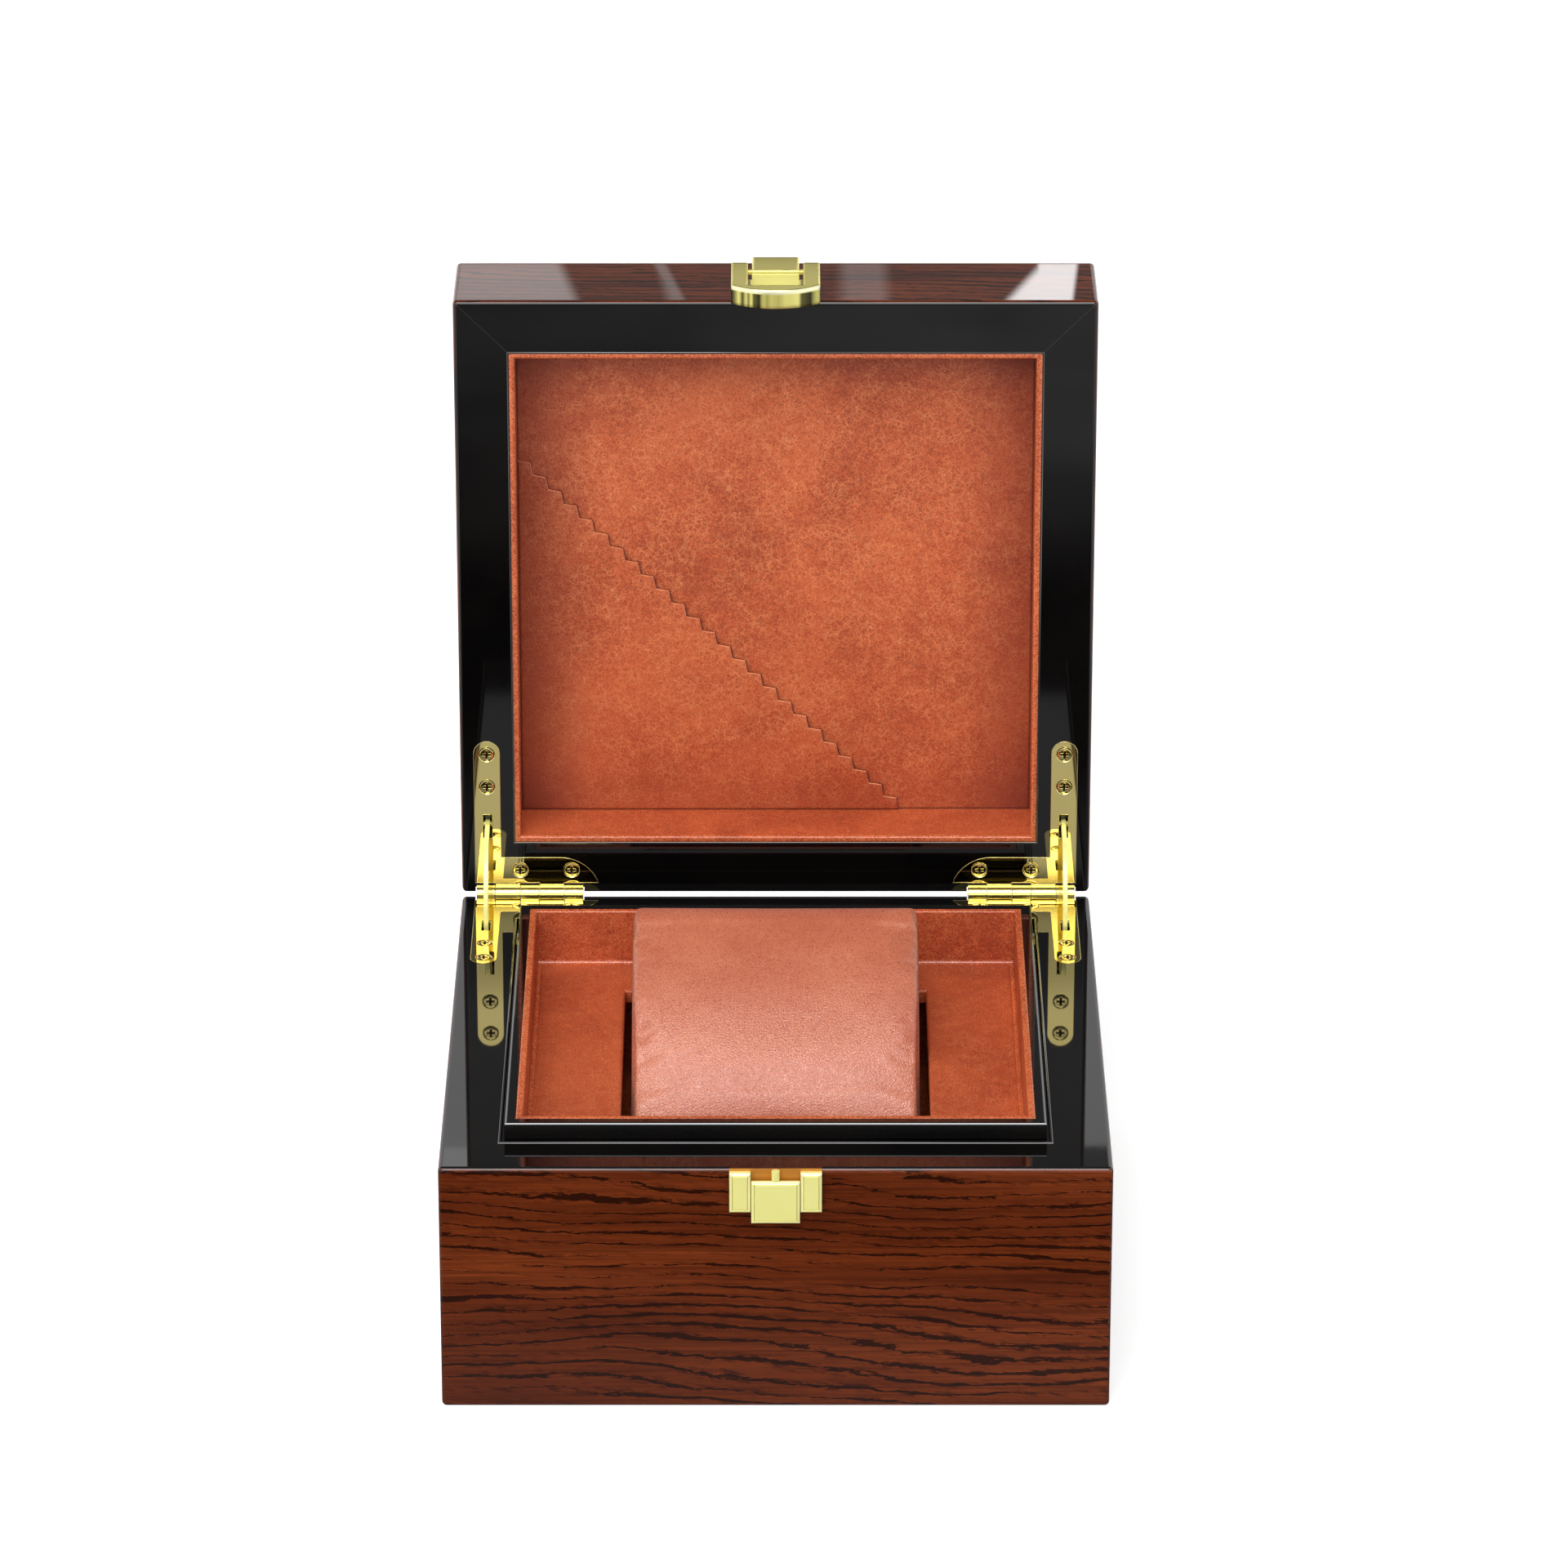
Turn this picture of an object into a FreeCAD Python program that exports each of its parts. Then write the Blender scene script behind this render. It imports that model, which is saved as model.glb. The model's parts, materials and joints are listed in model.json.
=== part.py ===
import FreeCAD, Part
import math
import os
import re

# A hinged box for one watch: veneered boards, a leather-lined lid with a card pocket,
# a lined tray with a lift-out board and cushion, two quadrant hinges and a push latch.
# Millimetres, origin under the middle of the base, +X right, +Y to the rear, +Z up.
# The lid's pieces are drawn closed and then swung open about the hinge axis.

doc = FreeCAD.newDocument("watch_box")
sizes = doc.addObject("Spreadsheet::Sheet", "Sizes")
places = doc.addObject("Spreadsheet::Sheet", "Places")

# Knuckles of each hinge leaf, which take turns along the barrel
LID_KNUCKLES = 2
BASE_KNUCKLES = LID_KNUCKLES + 1

SIZES = {
    # Case
    "box_width": "140",
    "box_depth": "139.5",
    "base_height": "55.4",
    "lid_height": "26",
    "wall_thick": "12",
    "floor_thick": "5",
    "lid_top_thick": "4.5",
    "edge_round": "1",
    "rim_gap": "0.3",
    "lid_swing": "90",
    "mitre_reach": "24",
    # Inner frame and linings
    "frame_proud": "4",
    "frame_thick": "2.2",
    "frame_round": "0.6",
    "groove_depth": "1.5",
    "lid_fit": "0.4",
    "lid_lining_thick": "1",
    "panel_thick": "5.1",
    "base_lining_thick": "1.6",
    "lining_round": "0.4",
    # Tray floor and lift-out board
    "tray_depth": "31.4",
    "tray_thick": "2",
    "board_depth": "8.5",
    "board_thick": "3",
    "board_gap": "0.5",
    "board_round": "0.8",
    "border_side": "19.3",
    "border_back": "14",
    "border_front": "24",
    "ledge_width": "5",
    # Cushion
    "cushion_side_gap": "2",
    "cushion_front_gap": "12",
    "cushion_seat_gap": "0.3",
    "cushion_round": "11",
    "cushion_reach": "0.8",
    "cushion_crown": "5",
    "cushion_end_tuck": "2.2",
    "cushion_end_length": "4",
    # Card pocket in the lid
    "pocket_thick": "0.8",
    "pocket_side_room": "29.4",
    "pocket_top_room": "29.8",
    "tooth_pitch": "3.38",
    "tooth_lean": "0.5",
    # Hinges
    "hinge_behind": "0.75",
    "leaf_thick": "1.2",
    "leaf_inset": "2.95",
    "side_leg_width": "5.9",
    "rear_leg_width": "6.2",
    "leg_back": "2.8",
    "side_leg_reach": "37",
    "rear_leg_reach": "27.55",
    "barrel_inset": "3.3",
    "barrel_length": "23.7",
    "barrel_radius": "2.4",
    "lid_knuckle_length": "5.5",
    "knuckle_gap": "0.15",
    "barrel_clear": "0.3",
    "pin_radius": "0.8",
    "pin_clear": "0.05",
    # Stay arms
    "stay_radius": "16.5",
    "stay_width": "2.4",
    "stay_thick": "1",
    "stay_past": "10.5",
    "stop_back": "2.5",
    "stop_radius": "0.6",
    "stop_length": "3.2",
    "slot_width": "2",
    "slot_length": "5.6",
    "mortise_clear": "0.4",
    # Hinge screws
    "screw_head_radius": "1.8",
    "screw_head_depth": "0.9",
    "screw_radius": "0.8",
    "screw_length": "7",
    "screw_cross_width": "0.5",
    "screw_cross_length": "2.4",
    "screw_cross_depth": "0.4",
    "screw_from_end": "3.2",
    "screw_pitch": "7.8",
    "rear_screw_pitch": "11.5",
    "screw_from_nose": "6",
    # Latch on the base
    "latch_width": "19.2",
    "latch_plate_thick": "1.3",
    "latch_plate_drop": "9.5",
    "post_width": "4.4",
    "post_proud": "1.4",
    "post_drop": "0.6",
    "latch_round": "0.35",
    "button_gap": "0.2",
    "button_top_drop": "2.4",
    "button_height": "9.4",
    "button_stand": "0.8",
    "button_thick": "1",
    "stem_rise": "3",
    "stem_radius": "1.6",
    "stem_clear": "0.1",
    "collar_radius": "2.3",
    "collar_thick": "1",
    "collar_clear": "0.05",
    "button_bore_radius": "2.8",
    "button_bore_depth": "8",
    "catch_radius": "0.85",
    "catch_stand": "0.1",
    "catch_top_drop": "0.1",
    "catch_gap": "0.2",
    "catch_stub_radius": "0.5",
    # Latch on the lid
    "hasp_plate_thick": "1.8",
    "hasp_plate_rise": "9.4",
    "hasp_plate_gap": "0.5",
    "hasp_stand": "0.4",
    "hasp_thick": "4.2",
    "hasp_drop": "11",
    "hasp_window_drop": "7.4",
    "hasp_arm_width": "3.6",
    "hasp_pin_rise": "6.9",
    "hasp_pin_radius": "0.6",
    "block_side_gap": "0.9",
    "block_gap": "0.2",
    "block_proud": "0.66",
    "block_rise": "9.2",
    "block_line": "0.25",
    "block_cap": "0.65",
}

PLACES = {
    "half_width": "box_width / 2",
    "half_depth": "box_depth / 2",
    "front_face": "-half_depth",
    "lid_bottom": "base_height + rim_gap",
    "lid_top": "lid_bottom + lid_height",
    "lid_ceiling": "lid_top - lid_top_thick",
    "lid_panel": "lid_ceiling - panel_thick",
    "axis_y": "half_depth + hinge_behind",
    "axis_z": "base_height + rim_gap / 2",
    "open_x": "half_width - wall_thick",
    "open_y": "half_depth - wall_thick",
    "lid_lined_x": "open_x - lid_lining_thick",
    "lid_lined_y": "open_y - lid_lining_thick",
    "pocket_across": "2 * lid_lined_x - pocket_side_room",
    "pocket_down": "2 * lid_lined_y - pocket_top_room",
    "frame_x": "lid_lined_x - lid_fit",
    "frame_y": "lid_lined_y - lid_fit",
    "frame_inner_x": "frame_x - frame_thick",
    "frame_inner_y": "frame_y - frame_thick",
    "frame_top": "base_height + frame_proud",
    "lined_x": "frame_inner_x - base_lining_thick",
    "lined_y": "frame_inner_y - base_lining_thick",
    "tray_top": "base_height - tray_depth",
    "board_top": "base_height - board_depth",
    "board_bottom": "board_top - board_thick",
    "board_x": "lined_x - board_gap",
    "board_y": "lined_y - board_gap",
    "cutout_x": "board_x - border_side",
    "cutout_back": "board_y - border_back",
    "cutout_front": "-board_y + border_front",
    "leaf_x": "-half_width + leaf_inset",
    "leg_x": "leaf_x + side_leg_width / 2",
    "nose_radius": "leg_back + rear_leg_width",
    "nose_x": "leaf_x + rear_leg_reach - sqrt(nose_radius ^ 2 - leg_back ^ 2)",
    "barrel_x": "-half_width + barrel_inset",
    "lid_knuckle_room": "lid_knuckle_length + 2 * knuckle_gap",
    "base_knuckle_length": f"(barrel_length - {LID_KNUCKLES} * lid_knuckle_room) / {BASE_KNUCKLES}",
    "knuckle_step": "base_knuckle_length + lid_knuckle_room",
    "half_swing": "lid_swing / 2",
    "mortise_turn": "half_swing + stay_past + stop_back",
    "nose_screw_x": "leaf_x + rear_leg_reach - screw_from_nose",
    "rear_screw_y": "axis_y - leg_back - rear_leg_width / 2",
    "end_screw_y": "axis_y - side_leg_reach + screw_from_end",
    "mid_screw_y": "end_screw_y + screw_pitch",
    "latch_half": "latch_width / 2",
    "post_inner": "latch_half - post_width",
    "button_half": "post_inner - button_gap",
    "button_back": "front_face - button_stand",
    "button_front": "button_back - button_thick",
    "stem_z": "base_height - latch_plate_drop + stem_rise",
    "plate_back": "front_face + latch_plate_thick",
    "collar_front": "plate_back + collar_clear",
    "catch_y": "front_face - catch_stand - catch_radius",
    "catch_bottom": "base_height - button_top_drop + catch_gap",
    "catch_top": "base_height - catch_top_drop",
    "hasp_back": "front_face - hasp_plate_thick - hasp_stand",
    "hasp_front": "hasp_back - hasp_thick",
    "hasp_pin_y": "(hasp_back + hasp_front) / 2",
    "hasp_pin_z": "lid_bottom + hasp_pin_rise",
    "hasp_low": "lid_bottom - hasp_drop",
    "hasp_bow": "hasp_drop - hasp_window_drop",
    "hasp_arc_radius": "(latch_half ^ 2 + hasp_bow ^ 2) / (2 * hasp_bow)",
    "window_half": "latch_half - hasp_arm_width",
    "block_half": "window_half - block_side_gap",
    "block_front": "hasp_front - block_proud",
}

WORD = re.compile(r"[a-z]+(?:_[a-z]+)+")


def qualified(text):
    """An expression with each size or place named by its sheet."""

    def sheet_name(match):
        return ("Sizes." if match.group() in SIZES else "Places.") + match.group()

    return WORD.sub(sheet_name, text)


def fill(sheet, cells):
    for row, (alias, text) in enumerate(cells.items(), start=1):
        sheet.set(f"A{row}", alias)
        sheet.set(f"B{row}", text)
        sheet.setAlias(f"B{row}", alias)
    doc.recompute()


fill(sizes, SIZES)
fill(places, {alias: "=" + qualified(text) for alias, text in PLACES.items()})


def bind(item, **texts):
    for name, text in texts.items():
        item.setExpression(name, qualified(text))


def move(item, x="0", y="0", z="0"):
    for axis, text in zip("xyz", (x, y, z)):
        item.setExpression(f"Placement.Base.{axis}", qualified(text))


# Building blocks

TURN_TO = {
    "x": FreeCAD.Rotation(FreeCAD.Vector(0, 1, 0), 90),
    "y": FreeCAD.Rotation(FreeCAD.Vector(1, 0, 0), -90),
    "z": FreeCAD.Rotation(),
}


def box(name, x, y, z):
    """A box between pairs of expressions along X, Y and Z."""
    item = doc.addObject("Part::Box", name)
    bind(
        item,
        Length=f"({x[1]}) - ({x[0]})",
        Width=f"({y[1]}) - ({y[0]})",
        Height=f"({z[1]}) - ({z[0]})",
    )
    move(item, x[0], y[0], z[0])
    return item


def cylinder(name, axis, radius, length, x="0", y="0", z="0"):
    """A cylinder that starts at a point and runs along +X, +Y or +Z."""
    item = doc.addObject("Part::Cylinder", name)
    item.Placement.Rotation = TURN_TO[axis]
    bind(item, Radius=radius, Height=length)
    move(item, x, y, z)
    return item


def joined(name, *items):
    item = doc.addObject("Part::MultiFuse", name)
    item.Shapes = list(items)
    return item


def cut(name, base, *tools):
    item = doc.addObject("Part::Cut", name)
    item.Base = base
    item.Tool = tools[0] if len(tools) == 1 else joined(name + " cutters", *tools)
    return item


def common(name, base, tool):
    item = doc.addObject("Part::Common", name)
    item.Base = base
    item.Tool = tool
    return item


def mirrored(name, source):
    """The right-hand twin of a left-hand piece."""
    item = doc.addObject("Part::Mirroring", name)
    item.Source = source
    item.Normal = FreeCAD.Vector(1, 0, 0)
    return item


def rounded(name, base, radius, wanted):
    """Fillets on the edges whose middle point passes a test."""
    doc.recompute()
    item = doc.addObject("Part::Fillet", name)
    item.Base = base
    item.Edges = [
        (number, radius, radius)
        for number, edge in enumerate(base.Shape.Edges, start=1)
        if wanted(edge.BoundBox.Center)
    ]
    return item


def away_from_hinges(rim):
    """Leaves out the rear edge at the rim's height, which stays square between the hinges."""

    def wanted(point):
        at_rear = point.y > places.half_depth - sizes.edge_round
        return not (at_rear and abs(point.z - rim) < sizes.edge_round)

    return wanted


def lining_round(wall):
    """The lining's edge radius, small enough for both edges of its wall."""
    return min(sizes.lining_round, EDGE_SHARE * wall)


EDGE_SHARE = 0.45


# Finished pieces by node name

nodes = {}


def keep(item, label):
    item.Label = label
    nodes[label] = item


SIDES = ("front", "rear", "left", "right")


def mitre(side):
    """A wedge whose slanted ends are the 45 degree mitres of one side's board."""
    item = doc.addObject("Part::Wedge", f"mitre {side}")
    along, across = ("half_width", "half_depth")
    if side in ("left", "right"):
        along, across = across, along
        item.Placement.Rotation = FreeCAD.Rotation(FreeCAD.Vector(0, 0, 1), -90)
    outer, inner = f"({along} + wall_thick)", f"({along} - mitre_reach)"
    far, near = f"{across} + wall_thick", f"{across} - mitre_reach"
    if side in ("front", "left"):
        bind(item, Ymin=f"-({far})", Ymax=f"-({near})")
        first, second = outer, inner
    else:
        bind(item, Ymin=near, Ymax=far)
        first, second = inner, outer
    bind(item, Xmin=f"-{first}", Xmax=first, X2min=f"-{second}", X2max=second)
    bind(item, Zmin="-wall_thick", Z2min="-wall_thick")
    bind(item, Zmax="lid_top + wall_thick", Z2max="lid_top + wall_thick")
    return item


mitres = {side: mitre(side) for side in SIDES}


def boards(ring, label):
    """Splits a ring into its four mitred boards."""
    for side in SIDES:
        keep(common(f"{label} {side} piece", ring, mitres[side]), f"{label}_{side}")


def ring(name, outer, inner, low, high):
    """A square ring between two half sizes."""
    block = box(name + " block", *[(f"-{half}", half) for half in outer], (low, high))
    hole = box(name + " hole", *[(f"-{half}", half) for half in inner], (low, high))
    return cut(name, block, hole)


# Hinges, drawn for the left corner

LEVELS = {
    "base": ("base_height - leaf_thick", "base_height"),
    "lid": ("lid_bottom", "lid_bottom + leaf_thick"),
}


def leaf_blank(part):
    """The L-shaped outline of one leaf, also the shape of its mortise."""
    low, high = LEVELS[part]
    round_y = "axis_y - side_leg_reach + side_leg_width / 2"
    rear_leg_y = ("axis_y - nose_radius", "axis_y - leg_back")
    side_leg = box(
        f"{part} side leg",
        ("leaf_x", "leaf_x + side_leg_width"),
        (round_y, "axis_y - leg_back"),
        (low, high),
    )
    side_end = cylinder(
        f"{part} side end", "z", "side_leg_width / 2", "leaf_thick", "leg_x", round_y, low
    )
    rear_leg = box(f"{part} rear leg", ("leaf_x", "nose_x"), rear_leg_y, (low, high))
    nose_slab = box(
        f"{part} nose slab", ("nose_x", "leaf_x + rear_leg_reach"), rear_leg_y, (low, high)
    )
    nose_arc = cylinder(
        f"{part} nose arc", "z", "nose_radius", "leaf_thick", "nose_x", "axis_y", low
    )
    nose = common(f"{part} nose", nose_slab, nose_arc)
    return joined(f"{part} leaf blank", side_leg, side_end, rear_leg, nose)


def knuckle_starts(part):
    """Where each knuckle of a leaf begins along the barrel."""
    if part == "base":
        first, count = "barrel_x", BASE_KNUCKLES
    else:
        first, count = "barrel_x + base_knuckle_length + knuckle_gap", LID_KNUCKLES
    return [f"{first} + {number} * knuckle_step" for number in range(count)]


SCREW_POINTS = (
    ("leg_x", "end_screw_y"),
    ("leg_x", "mid_screw_y"),
    ("nose_screw_x - rear_screw_pitch", "rear_screw_y"),
    ("nose_screw_x", "rear_screw_y"),
)


def screw_blank(part, number):
    """A countersunk screw without its cross, seated flush with the leaf's face."""
    x, y = SCREW_POINTS[number]
    head = doc.addObject("Part::Cone", f"{part} screw head {number}")
    bind(head, Height="screw_head_depth")
    if part == "base":
        bind(head, Radius1="screw_radius", Radius2="screw_head_radius")
        move(head, x, y, "base_height - screw_head_depth")
        shank_low = "base_height - screw_length"
    else:
        bind(head, Radius1="screw_head_radius", Radius2="screw_radius")
        move(head, x, y, "lid_bottom")
        shank_low = "lid_bottom + screw_head_depth"
    shank = cylinder(
        f"{part} shank {number}",
        "z",
        "screw_radius",
        "screw_length - screw_head_depth",
        x,
        y,
        shank_low,
    )
    return joined(f"{part} screw blank {number}", head, shank)


def cross_cutters(part, number):
    """The two bars of a screw's cross recess."""
    x, y = SCREW_POINTS[number]
    face = "base_height" if part == "base" else "lid_bottom"
    depth = (f"{face} - screw_cross_depth", f"{face} + screw_cross_depth")
    half_length, half_width = "screw_cross_length / 2", "screw_cross_width / 2"
    along_x = box(
        f"{part} cross x {number}",
        (f"{x} - {half_length}", f"{x} + {half_length}"),
        (f"{y} - {half_width}", f"{y} + {half_width}"),
        depth,
    )
    along_y = box(
        f"{part} cross y {number}",
        (f"{x} - {half_width}", f"{x} + {half_width}"),
        (f"{y} - {half_length}", f"{y} + {half_length}"),
        depth,
    )
    return along_x, along_y


def leaf(part, blank, screw_blanks):
    """A hinge leaf: the blank with its knuckles, slot and countersunk holes."""
    low, high = LEVELS[part]
    length = f"{part}_knuckle_length"
    bodies = [blank]
    for number, start in enumerate(knuckle_starts(part)):
        bodies.append(
            box(
                f"{part} tab {number}",
                (start, f"{start} + {length}"),
                ("axis_y - leg_back", "axis_y"),
                (low, high),
            )
        )
        bodies.append(
            cylinder(
                f"{part} knuckle {number}", "x", "barrel_radius", length, start, "axis_y", "axis_z"
            )
        )
    bore_radius = "pin_radius" if part == "base" else "pin_radius + pin_clear"
    bore = cylinder(
        f"{part} barrel bore", "x", bore_radius, "barrel_length", "barrel_x", "axis_y", "axis_z"
    )
    slot = box(
        f"{part} stay slot",
        ("leg_x - slot_width / 2", "leg_x + slot_width / 2"),
        ("axis_y - stay_radius - slot_length / 2", "axis_y - stay_radius + slot_length / 2"),
        (low, high),
    )
    return cut(f"{part} leaf body", joined(f"{part} leaf solid", *bodies), bore, slot, *screw_blanks)


def sector(name, start, turn, inner, outer, half_thick):
    """Part of a ring about the hinge axis, turning up from the front by degrees."""
    wide = cylinder(name + " wide", "x", outer, f"2 * ({half_thick})")
    hole = cylinder(name + " hole", "x", inner, f"2 * ({half_thick})")
    angle = math.radians(start)
    out = FreeCAD.Vector(0, -math.cos(angle), math.sin(angle))
    up = FreeCAD.Vector(0, math.sin(angle), math.cos(angle))
    for item in (wide, hole):
        item.Placement.Rotation = FreeCAD.Rotation(out, up, FreeCAD.Vector(-1, 0, 0))
        move(item, f"leg_x + {half_thick}", "axis_y", "axis_z")
    wide.setExpression("Angle", qualified(turn))
    return cut(name, wide, hole)


def mortise(part):
    """The curved pocket that a stay arm slides into."""
    start = -places.mortise_turn if part == "base" else 0
    spare = "(stay_width / 2 + mortise_clear)"
    return sector(
        f"{part} mortise",
        start,
        "mortise_turn",
        f"stay_radius - {spare}",
        f"stay_radius + {spare}",
        "stop_length / 2 + mortise_clear",
    )


def hinge_cutters(part, blank, screw_blanks):
    """Everything that one leaf takes out of the boards."""
    low, high = LEVELS[part]
    bed = box(
        f"{part} barrel bed",
        ("barrel_x - barrel_clear", "barrel_x + barrel_length + barrel_clear"),
        ("axis_y - leg_back", "axis_y"),
        (low, high),
    )
    notch = cylinder(
        f"{part} barrel notch",
        "x",
        "barrel_radius + barrel_clear",
        "barrel_length + 2 * barrel_clear",
        "barrel_x - barrel_clear",
        "axis_y",
        "axis_z",
    )
    left = joined(f"{part} hinge cutter", blank, bed, notch, mortise(part), *screw_blanks)
    return left, mirrored(f"{part} hinge cutter twin", left)


def screws(part, blanks):
    """The four screws of one leaf, with their crosses, as one group."""
    pieces = [
        cut(f"{part} screw {number}", blank, *cross_cutters(part, number))
        for number, blank in enumerate(blanks)
    ]
    group = doc.addObject("Part::Compound", f"{part} screws")
    group.Links = pieces
    return group


def stay():
    """A curved arm with a stop pin across each end, drawn with the lid open."""
    arm = sector(
        "stay arm",
        -sizes.stay_past,
        "lid_swing + 2 * stay_past",
        "stay_radius - stay_width / 2",
        "stay_radius + stay_width / 2",
        "stay_thick / 2",
    )
    pieces = [arm]
    low_angle = "(stay_past - stop_back)"
    for name, y_part, z_part in (
        ("base", f"cos({low_angle} * 1deg)", f"-sin({low_angle} * 1deg)"),
        (
            "lid",
            f"cos((lid_swing + {low_angle}) * 1deg)",
            f"sin((lid_swing + {low_angle}) * 1deg)",
        ),
    ):
        pieces.append(
            cylinder(
                f"stay stop {name}",
                "x",
                "stop_radius",
                "stop_length",
                "leg_x - stop_length / 2",
                f"axis_y - stay_radius * {y_part}",
                f"axis_z + stay_radius * {z_part}",
            )
        )
    return joined("stay body", *pieces)


blanks = {part: leaf_blank(part) for part in LEVELS}
screw_blanks = {
    part: [screw_blank(part, number) for number in range(len(SCREW_POINTS))] for part in LEVELS
}
cutters = {part: hinge_cutters(part, blanks[part], screw_blanks[part]) for part in LEVELS}

for part in LEVELS:
    left_leaf = leaf(part, blanks[part], screw_blanks[part])
    keep(left_leaf, f"{part}_hinge_leaf_left")
    keep(mirrored(f"{part} leaf twin", left_leaf), f"{part}_hinge_leaf_right")
    left_screws = screws(part, screw_blanks[part])
    keep(left_screws, f"{part}_hinge_screws_left")
    keep(mirrored(f"{part} screws twin", left_screws), f"{part}_hinge_screws_right")

left_pin = cylinder(
    "left pin", "x", "pin_radius", "barrel_length", "barrel_x", "axis_y", "axis_z"
)
keep(left_pin, "hinge_pin_left")
keep(mirrored("right pin", left_pin), "hinge_pin_right")
left_stay = stay()
keep(left_stay, "stay_arm_left")
keep(mirrored("right stay", left_stay), "stay_arm_right")

# Base case

base_block = box(
    "base block",
    ("-half_width", "half_width"),
    ("-half_depth", "half_depth"),
    ("0", "base_height"),
)
base_round = rounded(
    "base rounded", base_block, sizes.edge_round, away_from_hinges(sizes.base_height)
)
base_hole = box(
    "base hole", ("-open_x", "open_x"), ("-open_y", "open_y"), ("0", "base_height")
)
latch_recess = box(
    "latch recess",
    ("-latch_half", "latch_half"),
    ("front_face - post_proud", "plate_back"),
    ("base_height - latch_plate_drop", "base_height"),
)
button_bore = cylinder(
    "button bore",
    "y",
    "button_bore_radius",
    "button_bore_depth",
    "0",
    "front_face",
    "stem_z",
)
base_ring = cut("base ring", base_round, base_hole, *cutters["base"], latch_recess, button_bore)
boards(base_ring, "base_board")
keep(
    box("floor", ("-open_x", "open_x"), ("-open_y", "open_y"), ("0", "floor_thick")),
    "base_floor",
)

# Inner frame that the closed lid fits over, stepped out to the boards below the rim

frame_foot = box(
    "frame foot",
    ("-open_x", "open_x"),
    ("-open_y", "open_y"),
    ("floor_thick", "base_height - groove_depth"),
)
frame_upper = box(
    "frame upper",
    ("-frame_x", "frame_x"),
    ("-frame_y", "frame_y"),
    ("floor_thick", "frame_top"),
)
frame_soft = rounded(
    "frame rounded",
    frame_upper,
    sizes.frame_round,
    lambda point: point.z > places.frame_top - sizes.frame_round,
)
frame_hole = box(
    "frame hole",
    ("-frame_inner_x", "frame_inner_x"),
    ("-frame_inner_y", "frame_inner_y"),
    ("floor_thick", "frame_top"),
)
boards(cut("frame ring", joined("frame solid", frame_foot, frame_soft), frame_hole), "inner_frame")

# Leather-covered lining of the tray and its floor

lining_ring = ring(
    "tray lining ring",
    ("frame_inner_x", "frame_inner_y"),
    ("lined_x", "lined_y"),
    "tray_top",
    "frame_top",
)
lining_soft = rounded(
    "tray lining rounded",
    lining_ring,
    lining_round(sizes.base_lining_thick),
    lambda point: point.z > places.frame_top - sizes.lining_round,
)
boards(lining_soft, "tray_lining")
keep(
    box(
        "tray floor board",
        ("-frame_inner_x", "frame_inner_x"),
        ("-frame_inner_y", "frame_inner_y"),
        ("tray_top - tray_thick", "tray_top"),
    ),
    "tray_floor",
)
left_ledge = box(
    "left ledge",
    ("-lined_x", "-lined_x + ledge_width"),
    ("-cutout_back", "cutout_back"),
    ("tray_top", "board_bottom"),
)
keep(left_ledge, "tray_ledge_left")
keep(mirrored("right ledge", left_ledge), "tray_ledge_right")

# Lift-out board with the opening that the cushion sits in

board_block = box(
    "board block",
    ("-board_x", "board_x"),
    ("-board_y", "board_y"),
    ("board_bottom", "board_top"),
)
board_cutout = box(
    "board cutout",
    ("-cutout_x", "cutout_x"),
    ("cutout_front", "cutout_back"),
    ("board_bottom", "board_top"),
)
board_soft = rounded(
    "board rounded",
    cut("board ring", board_block, board_cutout),
    sizes.board_round,
    lambda point: point.z > places.board_top - sizes.board_round,
)
keep(board_soft, "lift_out_board")


# Cushion: its flat underside leans on the back of the cut-out and its front end sits on the floor

# Degrees round the quarter turn from the cushion's side into its end
CUSHION_END_TURNS = (0, 30, 55, 75, 90)


def cushion_section(x, tuck, lean, front_reach):
    """One section across the cushion, drawn in by a tuck and tilted by the lean."""
    middle = sizes.cushion_round
    radius = middle - tuck
    back, front = sizes.cushion_reach, -front_reach
    corner = radius * math.sqrt(0.5)

    def point(along, height):
        y = places.cutout_back + along * math.cos(lean) - height * math.sin(lean)
        rise = along * math.sin(lean) + height * math.cos(lean)
        return FreeCAD.Vector(x, y, places.board_top + sizes.cushion_seat_gap + rise)

    under_back, under_front = point(back, middle - radius), point(front, middle - radius)
    nose_back, nose_front = point(back + radius, middle), point(front - radius, middle)
    top_back, top_front = point(back, middle + radius), point(front, middle + radius)
    crest = point((back + front) / 2, middle + radius + sizes.cushion_crown)
    arcs = (
        (under_back, point(back + corner, middle - corner), nose_back),
        (nose_back, point(back + corner, middle + corner), top_back),
        (top_back, crest, top_front),
        (top_front, point(front - corner, middle + corner), nose_front),
        (nose_front, point(front - corner, middle - corner), under_front),
    )
    edges = [Part.Arc(*three).toShape() for three in arcs]
    edges.append(Part.makeLine(under_front, under_back))
    return Part.Wire(edges)


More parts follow.
